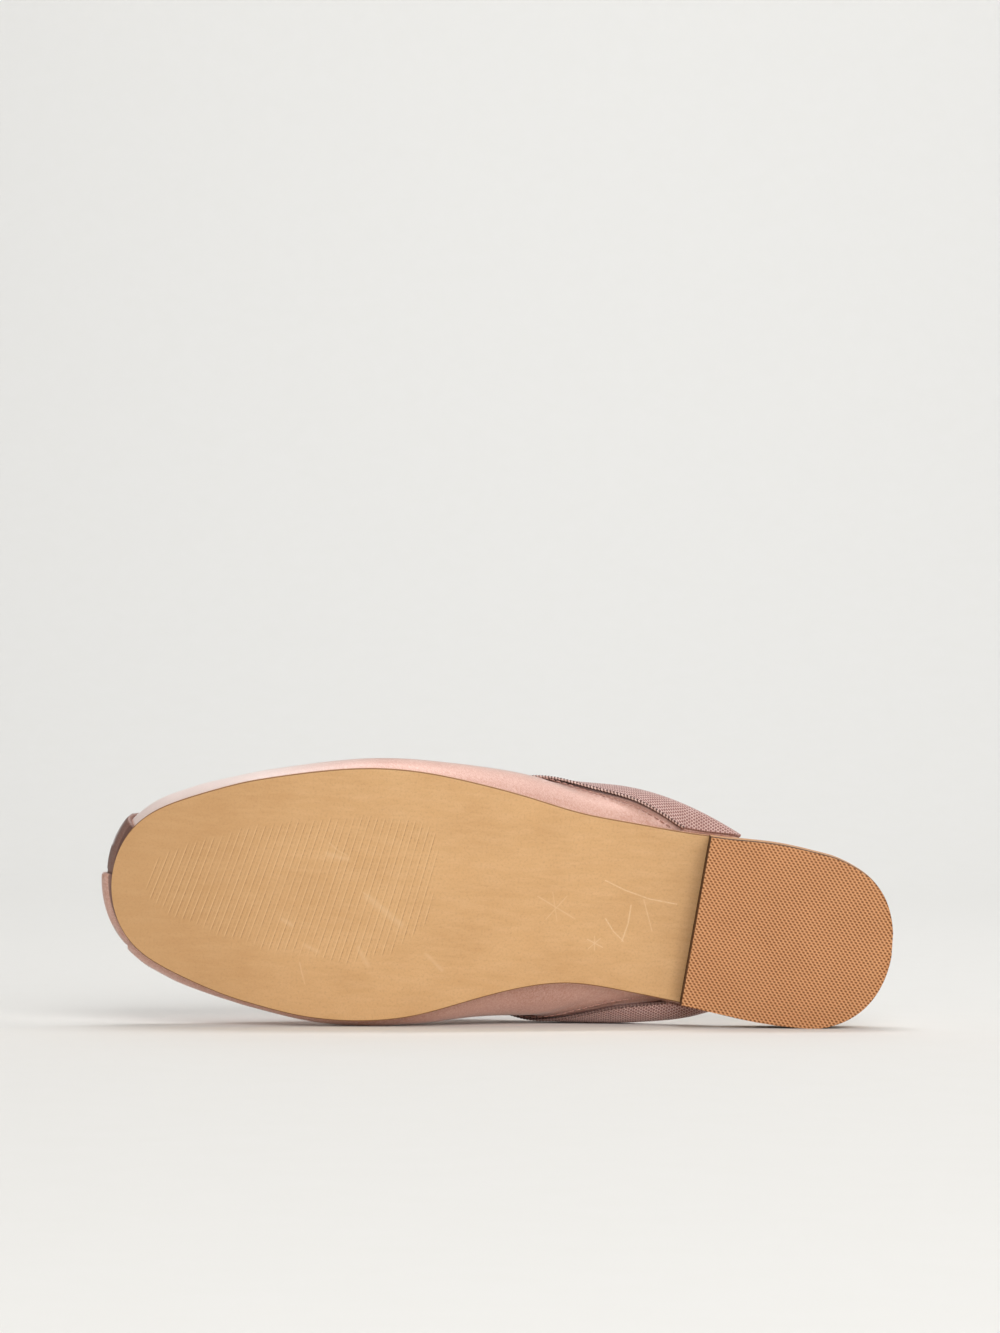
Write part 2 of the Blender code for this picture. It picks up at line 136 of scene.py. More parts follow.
# Ribs of the upper: from the sole edge at "foot" to the collar at (top_u, top_v, top_w)
RIB_COLUMNS = ("foot", "top_u", "top_v", "top_w", "out", "up", "reach", "drop")
LATERAL_RIBS = (
    (62.0, 62.0, 33.4, 18.6, 3.2, 2.4, 0.3, 2.4),
    (74.0, 74.0, 37.6, 23.0, 5.8, 2.8, 0.6, 5.0),
    (90.0, 90.0, 40.0, 29.6, 6.6, 4.0, 1.6, 7.5),
    (108.0, 108.0, 37.4, 37.4, 8.2, 8.0, 6.8, 10.5),
    (128.0, 126.0, 30.6, 45.0, 8.8, 10.0, 17.4, 15.0),
    (150.0, 139.5, 22.2, 50.2, 9.0, 9.0, 23.4, 18.5),
    (178.0, 148.5, 13.4, 53.4, 8.8, 8.5, 33.6, 21.0),
    (212.0, 152.6, 6.8, 54.8, 8.0, 8.0, 52.0, 29.0),
)
MEDIAL_RIBS = (
    (62.0, 62.0, -30.2, 18.6, 3.2, 2.4, 0.3, 2.4),
    (74.0, 74.0, -32.8, 23.0, 6.4, 2.8, 0.6, 5.0),
    (90.0, 90.0, -34.8, 29.6, 9.0, 4.0, 1.6, 7.5),
    (108.0, 108.0, -32.9, 37.4, 11.6, 6.0, 6.8, 10.5),
    (128.0, 126.0, -26.4, 45.0, 10.4, 7.0, 14.6, 17.0),
    (150.0, 139.5, -19.0, 50.2, 8.2, 2.8, 18.4, 24.5),
    (178.0, 148.5, -11.4, 53.4, 8.0, 1.6, 26.4, 28.0),
    (212.0, 152.6, -4.6, 54.8, 7.6, 3.0, 48.6, 33.0),
)
TOE_RIB = (250.0, 153.6, 1.1, 55.2, 13.6, 8.0, 72.5, 34.5)
END_LATERAL = 50.0
END_MEDIAL = 56.0
END_HEIGHT = 3.0
END_HANDLES = (0.4, 1.2, -0.3, 1.0)
OUTWARD_LEAN = 40.0

# Where the ribbon narrows towards its ends: on that side (1 is lateral), from full to narrow
NARROWING_COLUMNS = ("side", "full_at", "narrow_at")
NARROWING_TABLE = (
    (-1, 90.0, 66.0),
    (1, 114.0, 82.0),
)

# Knife pleats at the toe
PLEAT_COLUMNS = ("position", "proud", "run")
PLEAT_TABLE = (
    (18.8, 1.8, 17.1),
    (1.7, 1.8, 22.5),
    (-20.8, 0.7, 34.0),
)
PLEAT_POWER = 0.8
PLEAT_FADE_START = 0.16
PLEAT_FADE_END = 0.62
LEVEL_UP_TO = 0.15

# The rounded edge of a pleat: where a line of the surface lies before the pleat is folded,
# where it lies on the fold, and its share of the fold's height
FOLD_COLUMNS = ("flat", "folded", "share")
FOLD_TABLE = (
    (-1.5, -1.5, 1.0),
    (-1.2, -1.0, 1.0),
    (-0.95, -0.5, 0.99),
    (-0.7, -0.1, 0.95),
    (-0.5, 0.15, 0.84),
    (-0.3, 0.27, 0.66),
    (-0.1, 0.25, 0.46),
    (0.1, 0.1, 0.26),
    (0.3, -0.15, 0.12),
    (0.45, -0.2, 0.02),
    (0.65, 0.2, 0.0),
    (0.95, 0.95, 0.0),
)

# Soft troughs and ridges in the satin: from (s, t) to (s, t), half width and height in mm.
# s runs along the sole edge from the toe tip, t from the sole edge (0) to the collar (1).
CREASE_COLUMNS = ("s0", "t0", "s1", "t1", "half_width", "height")
CREASE_TABLE = (
    (21.0, 0.30, 17.0, 0.66, 2.6, 0.40),
    (3.0, 0.30, 4.0, 0.70, 2.8, 0.45),
    (-19.0, 0.30, -14.0, 0.68, 3.0, 0.40),
    (12.0, 0.25, 11.0, 0.55, 3.2, -0.30),
    (-8.0, 0.25, -5.0, 0.58, 3.6, -0.35),
    (-32.0, 0.12, -26.0, 0.50, 4.5, -0.30),
    (36.0, 0.10, 30.0, 0.46, 4.5, -0.25),
    (150.0, 0.62, 112.0, 0.50, 6.0, -0.35),
    (166.0, 0.30, 128.0, 0.22, 6.0, 0.25),
    (-148.0, 0.60, -112.0, 0.48, 6.0, -0.35),
    (-160.0, 0.34, -120.0, 0.25, 6.0, 0.25),
    (96.0, 0.55, 60.0, 0.72, 7.0, -0.25),
    (-96.0, 0.55, -60.0, 0.70, 7.0, -0.25),
)

# The collar's edge: a twisted selvedge, a groove beside it, puckers, and a row of stitches
SELVEDGE_RADIUS = 0.30
SELVEDGE_TWIST = 0.24
SELVEDGE_SIDES = 6
SELVEDGE_PITCH = 2.3
GROOVE_DEPTH = 0.35
GROOVE_WIDTH = 1.1
TROUGH_DEPTH = 0.60
TROUGH_AT = 3.6
TROUGH_WIDTH = 3.0
PUCKER_PITCH = 3.1
PUCKER_DEPTH = 0.13
PUCKER_REACH = 3.6
STITCH_BELOW = 2.4
STITCH_PITCH = 2.3
STITCH_LENGTH = 1.75
STITCH_RADIUS = 0.17
RIB_PITCH = 0.83
RIB_RELIEF = 0.08
WEAVE_PERIOD = 1.2

# The pressed lines under the forefoot: the patch they fill, and how they lean
PATCH_COLUMNS = ("u", "low", "high")
PATCH_TABLE = (
    (144.5, 2.0, 24.5),
    (150.0, -7.5, 27.0),
    (158.0, -15.5, 28.4),
    (172.0, -20.1, 28.6),
    (188.0, -19.1, 26.7),
    (204.0, -16.3, 23.6),
    (213.0, -14.0, 21.2),
    (220.5, -11.6, 18.4),
    (228.5, -9.6, 16.0),
    (234.5, -6.5, 12.0),
    (241.0, 0.0, 4.0),
)
PATCH_FADE = 4.5
LINE_PITCH = 2.51
LINE_LEAN = -0.235
LINE_FAN = -0.0012
LINE_FAN_FROM = 150.0
LINE_DEPTH = 0.06
LINES_FROM = 138.0
LINES_TO = 238.0

# A groove and the rim beside it: half widths, how far apart they are, and the strength of every
# second line. First as pressed into the sole, then as the finish paints them, with painted shade
# in the groove and a painted highlight on the rim.
LINE_COLUMNS = ("groove", "rim", "rim_at", "second")
PRESSED_LINE = (0.26, 0.28, 0.50, 0.35)
DRAWN_LINE = (0.24, 0.22, 0.40, 0.28)
DRAWN_CORE = 0.04

# The moulded lattice under the heel: three waves that add up to its pits. Direction in degrees
# from -u towards -v, period in mm, and weight.
LATTICE_TABLE = (
    (-30.6, 1.06, 1.4),
    (49.3, 1.07, 0.7),
    (99.7, 0.829, 0.9),
)
LATTICE_TURN = 3.5
LATTICE_DEPTH = 0.16
PIT_FROM = 0.3
PIT_RISE = 1.8

# Light scratches on the outsole, as points (u, v), with their half width and strength
SCUFF_TABLE = (
    (((92.5, 11.6), (86.0, 8.8), (77.9, 6.4), (69.2, 5.3)), 0.35, 0.825),
    (((83.8, 4.1), (84.4, -1.7), (86.0, -7.5)), 0.4, 0.75),
    (((91.8, -0.5), (89.0, -4.5), (85.6, -7.5)), 0.35, 0.825),
    (((97.1, -7.5), (92.2, -9.8)), 0.3125, 0.675),
    (((96.6, -10.4), (93.0, -7.0)), 0.275, 0.6),
    (((94.9, -6.4), (94.7, -10.9)), 0.275, 0.6),
    (((79.8, 6.0), (76.6, -3.7)), 0.3125, 0.6),
    (((113.9, 5.5), (101.6, -1.1)), 0.375, 0.45),
    (((110.9, -1.7), (104.6, 6.0)), 0.3125, 0.42),
    (((109.2, 7.0), (107.3, -2.1)), 0.275, 0.375),
    (((169.5, 3.7), (163.6, -0.1), (157.5, -5.5)), 0.375, 0.42),
    (((181.3, 18.9), (178.3, 16.5), (175.3, 15.1)), 0.375, 0.375),
    (((188.2, -19.8), (187.4, -22.9), (186.2, -26.4)), 0.35, 0.45),
    (((168.0, 2.4), (162.0, -2.0), (157.0, -5.8)), 1.875, 0.33),
    (((181.5, 15.2), (175.0, 14.0)), 1.375, 0.3),
    (((194.6, -6.4), (191.5, -8.0)), 1.125, 0.33),
    (((187.0, -14.2), (182.5, -16.0)), 1.125, 0.3),
    (((170.0, -14.0), (166.5, -19.5)), 1.25, 0.27),
    (((148.5, -14.5), (143.0, -19.5)), 1, 0.3),
)


# The shape of the shoe


def column(table, names, name):
    return np.array([row[names.index(name)] for row in table], float)


def spline(knots, values, at):
    """A natural cubic spline through (knots, values), read at the places in at."""
    knots, values = np.asarray(knots, float), np.asarray(values, float)
    at = np.clip(np.asarray(at, float), knots[0], knots[-1])
    step = np.diff(knots)
    slope = np.diff(values) / step
    matrix = np.eye(len(knots))
    right = np.zeros(len(knots))
    for i in range(1, len(knots) - 1):
        matrix[i, i - 1 : i + 2] = step[i - 1], 2 * (step[i - 1] + step[i]), step[i]
        right[i] = 6 * (slope[i] - slope[i - 1])
    bend = np.linalg.solve(matrix, right)
    i = np.clip(np.searchsorted(knots, at, side="right") - 1, 0, len(step) - 1)
    a = (knots[i + 1] - at) / step[i]
    b = (at - knots[i]) / step[i]
    curve = (a**3 - a) * bend[i] + (b**3 - b) * bend[i + 1]
    return a * values[i] + b * values[i + 1] + curve * step[i] ** 2 / 6


def smooth_step(x):
    x = np.clip(x, 0.0, 1.0)
    return x * x * (3 - 2 * x)


def bell(x):
    return np.exp(-x * x)


def unit(vectors):
    return vectors / np.linalg.norm(vectors, axis=-1, keepdims=True)


def run_along(points):
    """Lengths from the first point of each line of points, an array (..., points, size)."""
    steps = np.linalg.norm(np.diff(points, axis=-2), axis=-1)
    return np.concatenate([np.zeros((*steps.shape[:-1], 1)), np.cumsum(steps, axis=-1)], -1)


def sole_bottom(u):
    """Height of the outsole's underside: flat heel seat, arch, flat ball and toe spring."""
    arch = HEEL_HEIGHT * smooth_step((BALL_BACK - u) / (BALL_BACK - ARCH_START))
    spring = np.clip((u - BALL_FRONT) / (SOLE_LENGTH - BALL_FRONT), 0, 1) ** SPRING_POWER
    return arch + TOE_SPRING * spring


def sole_edge(u, side):
    """v of the outsole's edge at station u, on the lateral (side 1) or medial (side -1) side."""
    u = np.asarray(u, float)
    stations = column(SOLE_TABLE, SOLE_COLUMNS, "station")
    centre = spline(stations, column(SOLE_TABLE, SOLE_COLUMNS, "centre"), u)
    half = spline(stations, column(SOLE_TABLE, SOLE_COLUMNS, "half_width"), u)
    toe = np.clip((u - TOE_ROUND_FROM) / (SOLE_LENGTH - TOE_ROUND_FROM), 0, 1)
    heel = np.clip((HEEL_ROUND_TO - u) / HEEL_ROUND_TO, 0, 1)
    return centre + side * half * np.sqrt((1 - toe**2) * (1 - heel**2))


class Feather:
    """The sole edge that the upper stands on, read by the distance s from the toe tip."""

    def __init__(self, inset, fine_step=0.5, toe_points=200, last_station=20.0):
        angle = np.linspace(0, math.pi / 2, toe_points)
        near_toe = TOE_ROUND_FROM + (SOLE_LENGTH - TOE_ROUND_FROM) * np.cos(angle)
        behind = np.arange(TOE_ROUND_FROM - fine_step, last_station, -fine_step)
        u = np.concatenate([near_toe, behind])
        lateral = np.stack([u, sole_edge(u, 1)], 1)
        medial = np.stack([u, sole_edge(u, -1)], 1)
        line = np.concatenate([medial[:0:-1], lateral])
        along = unit(np.gradient(line, axis=0))
        self.normals = np.stack([along[:, 1], -along[:, 0]], 1)
        self.points = line - inset * self.normals
        run = run_along(line)
        self.s = run - run[len(medial) - 1]

    def at(self, s):
        points = np.stack([np.interp(s, self.s, self.points[:, k]) for k in (0, 1)], -1)
        normals = np.stack([np.interp(s, self.s, self.normals[:, k]) for k in (0, 1)], -1)
        return points, unit(normals)

    def place(self, u, side):
        chosen = self.s > 0 if side > 0 else self.s < 0
        order = np.argsort(self.points[chosen, 0])
        return float(np.interp(u, self.points[chosen, 0][order], self.s[chosen][order]))


FEATHER = Feather(FEATHER_INSET)
FIRST = FEATHER.place(END_MEDIAL, -1)
LAST = FEATHER.place(END_LATERAL, 1)


def rib_knot(row, side):
    return (FEATHER.place(row[0], side), *row[1:])


def end_knot(station, side):
    top = sole_bottom(station) + OUTSOLE_THICKNESS + END_HEIGHT
    return (FEATHER.place(station, side), station, sole_edge(station, side), top, *END_HANDLES)


KNOT_COLUMNS = ("s", *RIB_COLUMNS[1:])
RIB_KNOTS = np.array(
    [end_knot(END_MEDIAL, -1)]
    + [rib_knot(row, -1) for row in MEDIAL_RIBS]
    + [rib_knot(TOE_RIB, 1)]
    + [rib_knot(row, 1) for row in reversed(LATERAL_RIBS)]
    + [end_knot(END_LATERAL, 1)],
    float,
)


def rib_handles(s):
    """The four Bezier points of the ribs at the distances s, as an array (len(s), 4, 3)."""
    values = [spline(RIB_KNOTS[:, 0], RIB_KNOTS[:, k], s) for k in range(1, len(KNOT_COLUMNS))]
    read = dict(zip(KNOT_COLUMNS[1:], values))
    plan, normal = FEATHER.at(s)
    foot = np.column_stack([plan, sole_bottom(plan[:, 0]) + OUTSOLE_THICKNESS + GAP])
    top = np.column_stack([read["top_u"], read["top_v"], read["top_w"]])
    outward = np.column_stack([normal, np.zeros(len(s))])
    upward = np.array([0.0, 0.0, 1.0])
    towards_foot = unit((foot - top) * (1, 1, 0) + OUTWARD_LEAN * outward)
    leave = foot + outward * read["out"][:, None] + upward * read["up"][:, None]
    arrive = top + towards_foot * read["reach"][:, None] - upward * read["drop"][:, None]
    return np.stack([foot, leave, arrive, top], 1)


def rib_points(s, t):
    handles = rib_handles(s)
    t = t[:, None]
    weights = ((1 - t) ** 3, 3 * t * (1 - t) ** 2, 3 * t**2 * (1 - t), t**3)
    return sum(weight * handles[:, k] for k, weight in enumerate(weights))


def upper_surface(s, t, ds=0.4, dt=0.01):
    """Points of the upper's smooth outer face and the directions its wall is measured in."""
    shape = s.shape
    s, t = s.ravel(), t.ravel()
    across = rib_points(s, np.clip(t + dt, 0, 1)) - rib_points(s, np.clip(t - dt, 0, 1))
    along = rib_points(np.clip(s + ds, FIRST, LAST), t) - rib_points(np.clip(s - ds, FIRST, LAST), t)
    normal = unit(np.cross(along, across))
    level = unit(normal * (1, 1, 0))
    turn = smooth_step(t / LEVEL_UP_TO)[:, None]
    outward = unit(level * (1 - turn) + normal * turn)
    return rib_points(s, t).reshape(*shape, 3), outward.reshape(*shape, 3)


def tooth_height(s):
    """Height of the pleats where they are full: a saw tooth along the toe."""
    height = np.zeros_like(s)
    for position, proud, run in PLEAT_TABLE:
        behind = position - s
        tooth = proud * np.clip(1 - behind / run, 0, 1) ** PLEAT_POWER
        height = np.where((behind >= 0) & (behind < run), np.maximum(height, tooth), height)
    return height


def pleat_fade(t):
    return 1 - smooth_step((t - PLEAT_FADE_START) / (PLEAT_FADE_END - PLEAT_FADE_START))


def ribbon_width(s):
    """Width of the ribbon at the distances s along the sole edge."""
    share = 0.0
    for side, full_at, narrow_at in NARROWING_TABLE:
        full, narrow = FEATHER.place(full_at, side), FEATHER.place(narrow_at, side)
        share = share + smooth_step((s - full) / (narrow - full))
    return RIBBON_WIDTH - (RIBBON_WIDTH - RIBBON_END_WIDTH) * share


def ribbon_start(s, samples=25):
    """The ribbon's lower edge on the ribs at s: its place t and its length from the sole.

    Then the lengths along the ribs at even places t, and those places.
    """
    t = np.linspace(0, 1, samples)
    points = rib_points(np.repeat(s, samples), np.tile(t, len(s))).reshape(len(s), samples, 3)
    run = run_along(points)
    start = np.maximum(RIBBON_CLEARANCE, run[:, -1] - ribbon_width(s))
    under = np.array([np.interp(start[k], run[k], t) for k in range(len(s))])
    return under, start, run, t


def rows_by_length(s, low, high, count):
    """Places t of count rows on each rib, at even lengths between two lines of the upper.

    The lines are its "sole", the lower edge of its "ribbon" and its "collar".
    """
    _, start, run, t = ribbon_start(s)
    lines = {"sole": 0 * start, "ribbon": start, "collar": run[:, -1]}
    rows = []
    for k in range(len(s)):
        wanted = np.linspace(lines[low][k], lines[high][k], count)
        rows.append(np.interp(wanted, run[k], t))
    return np.array(rows)


# Where the shoe lies


def shoe_place(heel=(32.0, -2.8), ball=(169.0, 3.0)):
    """The turn and shift that take the shoe's millimetres to the row frame's metres."""
    mounts = {m["name"]: m for m in frame["record"]["mounts"]}
    up = -Vector(mounts["heel_tread"]["axis"]).normalized()
    start = Vector(mounts["heel_tread"]["pos_m"])
    line = Vector(mounts["forefoot_tread"]["pos_m"]) - start
    line = (line - up * line.dot(up)).normalized()
    turn = math.atan2(ball[1] - heel[1], ball[0] - heel[0])
    forward = Matrix.Rotation(-turn, 3, up) @ line
    side = up.cross(forward)
    axes = np.array([forward, side, up]).T
    return axes * MM, np.array(start) - axes @ np.array([*heel, 0.0]) * MM


TURN, SHIFT = shoe_place()


def to_row(points):
    return np.asarray(points, float) @ TURN.T + SHIFT


# Meshes


def make_mesh(name, corners, faces, finishes, slots=None, marks=None, angle=40):
    """A mesh from corners in the shoe's frame. marks is one vector a corner for its finish."""
    data = bpy.data.meshes.new(name)
    data.from_pydata(to_row(corners).tolist(), [], faces)
    for finish in finishes:
        data.materials.append(finish)
    if slots is not None:
        data.polygons.foreach_set("material_index", np.asarray(slots, np.int32))
    if marks is not None:
        layer = data.attributes.new("marks", "FLOAT_VECTOR", "POINT")
        layer.data.foreach_set("vector", np.asarray(marks, np.float32).ravel())
    data.update()
    data.shade_smooth()
    data.set_sharp_from_angle(angle=math.radians(angle))
    piece = bpy.data.objects.new(name, data)
    bpy.context.scene.collection.objects.link(piece)
    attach(piece, "root")
    return piece


def volume_of(corners, faces):
    total = 0.0
    for quad in (faces[:, (0, 1, 2)], faces[:, (0, 2, 3)]):
        a, b, c = (corners[quad[:, k]] for k in range(3))
        total += np.einsum("ij,ij->i", a, np.cross(b, c)).sum()
    return total


def lay(name, loops, finishes, slots=None, marks=None, angle=40):
    """A closed body through loops, an array (loops, points, 3). slots is one finish a point."""
    count, size = loops.shape[:2]
    corners = loops.reshape(-1, 3)
    index = np.arange(count * size).reshape(count, size)
    near, far = index[:-1], index[1:]
    quads = np.stack([near, np.roll(near, -1, 1), np.roll(far, -1, 1), far], -1).reshape(-1, 4)
    caps = [index[0, ::-1].tolist(), index[-1].tolist()]
    middle = corners.mean(0)
    if volume_of(corners - middle, quads) < 0:
        quads = quads[:, ::-1]
        caps = [cap[::-1] for cap in caps]
    faces = quads.tolist() + caps
    if slots is not None:
        slots = np.concatenate([np.tile(slots, count - 1), [slots[0], slots[0]]])
    if marks is not None:
        marks = marks.reshape(-1, 3)
    return make_mesh(name, corners, faces, finishes, slots, marks, angle)


def tubes(name, paths, outward, radii, sides, finishes, marks=None, angle=60):
    """Closed tubes of one number of rings along paths (tubes, rings, 3), as one mesh."""
    tube_count, rings = paths.shape[:2]
    along = unit(np.gradient(paths, axis=1))
    aside = unit(np.cross(along, outward))
    square = np.cross(aside, along)
    turn = np.linspace(0, 2 * math.pi, sides, endpoint=False)
    ring = np.cos(turn)[:, None] * square[:, :, None] + np.sin(turn)[:, None] * aside[:, :, None]
    corners = (paths[:, :, None] + ring * radii[None, :, None, None]).reshape(-1, 3)
    index = np.arange(len(corners)).reshape(tube_count, rings, sides)
    near, far = index[:, :-1], index[:, 1:]
    quads = np.stack([near, np.roll(near, -1, 2), np.roll(far, -1, 2), far], -1).reshape(-1, 4)
    caps = index[:, 0, ::-1].tolist() + index[:, -1].tolist()
    first = quads[: (rings - 1) * sides]
    if volume_of(corners - corners[index[0]].mean((0, 1)), first) < 0:
        quads = quads[:, ::-1]
        caps = [cap[::-1] for cap in caps]
    return make_mesh(name, corners, quads.tolist() + caps, finishes, None, marks, angle)


# Finishes


def srgb(red, green, blue):
    """A colour as measured on a screen, 0 to 255, as linear light."""
    values = np.array([red, green, blue], float) / 255
    linear = np.where(values <= 0.04045, values / 12.92, ((values + 0.055) / 1.055) ** 2.4)
    return (*linear.tolist(), 1.0)


class Finish:
    """A Principled material that is put together by short calls."""

    def __init__(self, name, roughness):
        self.material = bpy.data.materials.new(name)
        self.material.use_nodes = True
        self.tree = self.material.node_tree
        self.surface = self.tree.nodes["Principled BSDF"]
        self.surface.inputs["Roughness"].default_value = roughness

    def feed(self, socket, value):
        if isinstance(value, bpy.types.NodeSocket):
            self.tree.links.new(value, socket)
        else:
            socket.default_value = value

    def add(self, kind, inputs, output=0, **settings):
        node = self.tree.nodes.new(kind)
        for name, value in settings.items():
            setattr(node, name, value)
        for name, value in inputs.items():
            self.feed(node.inputs[name], value)
        return node.outputs[output]

    def marks(self):
        return self.add("ShaderNodeAttribute", {}, "Vector", attribute_name="marks")

    def part_of(self, vector, axis):
        return self.add("ShaderNodeSeparateXYZ", {"Vector": vector}, axis)

    def vector(self, operation, first, second, output="Vector"):
        inputs = {0: first, 1: second}
        return self.add("ShaderNodeVectorMath", inputs, output, operation=operation)

    def sum(self, operation, first, second=0.0, third=0.0):
        inputs = {0: first, 1: second, 2: third}
        return self.add("ShaderNodeMath", inputs, operation=operation)

    def noise(self, vector, scale, detail=3.0, roughness=0.55):
        inputs = {"Vector": vector, "Scale": scale, "Detail": detail, "Roughness": roughness}
        return self.add("ShaderNodeTexNoise", inputs, "Fac")

    def mottle(self, marks, scale, detail=3.0, roughness=0.55):
        return self.noise(self.vector("MULTIPLY", marks, scale), 1.0, detail, roughness)

    def between(self, value, low, high, to_low=0.0, to_high=1.0, kind="SMOOTHSTEP"):
        inputs = {"Value": value, "From Min": low, "From Max": high, "To Min": to_low, "To Max": to_high}
        return self.add("ShaderNodeMapRange", inputs, interpolation_type=kind)

    def mix(self, share, first, second):
        node = self.tree.nodes.new("ShaderNodeMix")
        node.data_type = "RGBA"
        self.feed(node.inputs[0], share)
        self.feed(node.inputs[6], first)
        self.feed(node.inputs[7], second)
        return node.outputs[2]

    def two_tone(self, share, first, second, low=0.3, high=0.7):
        """From the first to the second colour, both as measured on a screen."""
        return self.mix(self.between(share, low, high), srgb(*first), srgb(*second))

    def colour(self, value):
        self.feed(self.surface.inputs["Base Color"], value)

    def bump(self, height, distance, strength=1.0):
        inputs = {"Height": height, "Distance": distance, "Strength": strength}
        self.feed(self.surface.inputs["Normal"], self.add("ShaderNodeBump", inputs, "Normal"))

    def fix(self, **values):
        names = {"sheen": "Sheen Weight", "sheen_roughness": "Sheen Roughness"}
        names |= {"specular": "Specular IOR Level", "metallic": "Metallic"}
        for name, value in values.items():
            self.surface.inputs[names[name]].default_value = value


def satin_finish():
    """Marks: distances along the sole edge, below the ribbon, and above the sole edge."""
    finish = Finish("satin", 0.36)
    marks = finish.marks()
    s = finish.part_of(marks, "X")
    below = finish.part_of(marks, "Y")
    above = finish.part_of(marks, "Z")
    warp = finish.mottle(marks, (3.4, 1.0, 0.2), 3.0)
    weft = finish.mottle(marks, (1.0, 3.4, 0.2), 3.0)
    cloud = finish.mottle(marks, (0.05, 0.05, 0.05), 3.0)
    threads = finish.sum("ADD", warp, weft)
    tone = finish.two_tone(cloud, (202, 147, 128), (213, 160, 141))
    fleck = finish.between(threads, 0.75, 1.3)
    tone = finish.mix(finish.sum("MULTIPLY", fleck, 0.60), tone, srgb(238, 204, 190))
    # Painted shade: a darker taupe over the first few millimetres below the ribbon
    tone = finish.mix(finish.between(below, 5.0, 0.8, 0.0, 0.45), tone, srgb(146, 104, 92))
    # Painted shadow: a thin dark line just under the selvedge
    tone = finish.mix(finish.between(below, 0.55, 0.15, 0.0, 0.85), tone, srgb(84, 46, 38))
    # Painted shade beside the outermost pleat and painted light on the toe past it, within 20 mm of the
    # sole edge
    tip = finish.between(above, 20.0, 6.0)
    shaded = finish.sum("MULTIPLY", finish.between(s, 0.8, 2.2), finish.between(s, 19.6, 19.2, 0.0, 0.70))
    tone = finish.mix(finish.sum("MULTIPLY", shaded, tip), tone, srgb(84, 58, 51))
    lit = finish.sum("MULTIPLY", finish.between(s, 19.4, 19.8), finish.between(s, 110.0, 50.0, 0.0, 0.80))
    tone = finish.mix(finish.sum("MULTIPLY", lit, tip), tone, srgb(252, 236, 229))
    # Painted shade: a dark line at the foot of the satin, along the sole edge
    finish.colour(finish.mix(finish.between(above, 0.7, 0.2, 0.0, 0.65), tone, srgb(88, 52, 44)))
    finish.feed(finish.surface.inputs["Roughness"], finish.between(warp, 0.3, 0.7, 0.36, 0.50))
    finish.bump(threads, 0.00006, 0.6)
    finish.fix(sheen=0.8, sheen_roughness=0.30, specular=0.8, metallic=0.12)
    return finish.material


def lining_finish():
    finish = Finish("lining", 0.85)
    marks = finish.marks()
    grain = finish.mottle(marks, (1.4, 1.4, 1.4), 4.0)
    finish.colour(finish.two_tone(grain, (206, 182, 160), (220, 198, 178)))
    finish.bump(grain, 0.0001, 0.5)
    return finish.material


def grosgrain_finish():
    """Marks: distance along the ribbon, distance across it, and 1 on a rib, 0 in a gap."""
    finish = Finish("grosgrain", 0.62)
    marks = finish.marks()
    rib = finish.part_of(marks, "Z")
    along = finish.sum("MULTIPLY", finish.part_of(marks, "X"), math.pi / RIB_PITCH)
    across = finish.sum("MULTIPLY", finish.part_of(marks, "Y"), 2 * math.pi / WEAVE_PERIOD)
    weave = finish.sum("MULTIPLY", finish.sum("SINE", along), finish.sum("SINE", across))
    weave = finish.between(weave, -0.35, 0.45)
    cloud = finish.mottle(marks, (0.3, 0.3, 0.0), 4.0)
    light = finish.two_tone(cloud, (226, 188, 177), (242, 208, 198))
    thread = finish.mix(weave, srgb(150, 104, 96), light)
    # Painted shade in the gaps between the ribs
    thread = finish.mix(finish.between(rib, 0.05, 0.4), srgb(136, 92, 86), thread)
    # Painted sheen: lighter from 8 mm across the ribbon towards the collar edge
    top = finish.between(finish.part_of(marks, "Y"), 8.0, 14.0, 0.0, 0.55)
    finish.colour(finish.mix(top, thread, srgb(226, 190, 180)))
    finish.bump(weave, 0.00009, 0.8)
    finish.fix(sheen=0.2, sheen_roughness=0.5, specular=0.35)
    return finish.material


def thread_finish(name, low, high):
    finish = Finish(name, 0.55)
    grain = finish.noise(finish.add("ShaderNodeTexCoord", {}, "Object"), 2500.0, 2.0)
    finish.colour(finish.two_tone(grain, low, high, 0.35, 0.65))
    finish.bump(grain, 0.00005, 0.6)
    return finish.material


def selvedge_finish():
    """Marks: the distance along the selvedge, and v. Painted shade: dark where one strand dips under the
    other, and darker on the medial side.
    """
    finish = Finish("selvedge_thread", 0.55)
    marks = finish.marks()
    turn = finish.sum("MULTIPLY", finish.part_of(marks, "X"), 4 * math.pi / SELVEDGE_PITCH)
    # Painted shade where one strand dips under the other, and over the medial side, which is unlit
    painted_strand_shade = finish.between(finish.sum("COSINE", turn), -0.3, 0.7, 0.0, 0.95)
    painted_strand_shade = finish.sum("MAXIMUM", painted_strand_shade, finish.between(finish.part_of(marks, "Y"), 0.0, -12.0, 0.0, 0.75))
    grain = finish.noise(finish.add("ShaderNodeTexCoord", {}, "Object"), 2500.0, 2.0)
    thread = finish.two_tone(grain, (206, 168, 156), (244, 214, 203), 0.35, 0.65)
    finish.colour(finish.mix(painted_strand_shade, thread, srgb(82, 46, 40)))
    finish.bump(grain, 0.00005, 0.6)
    return finish.material


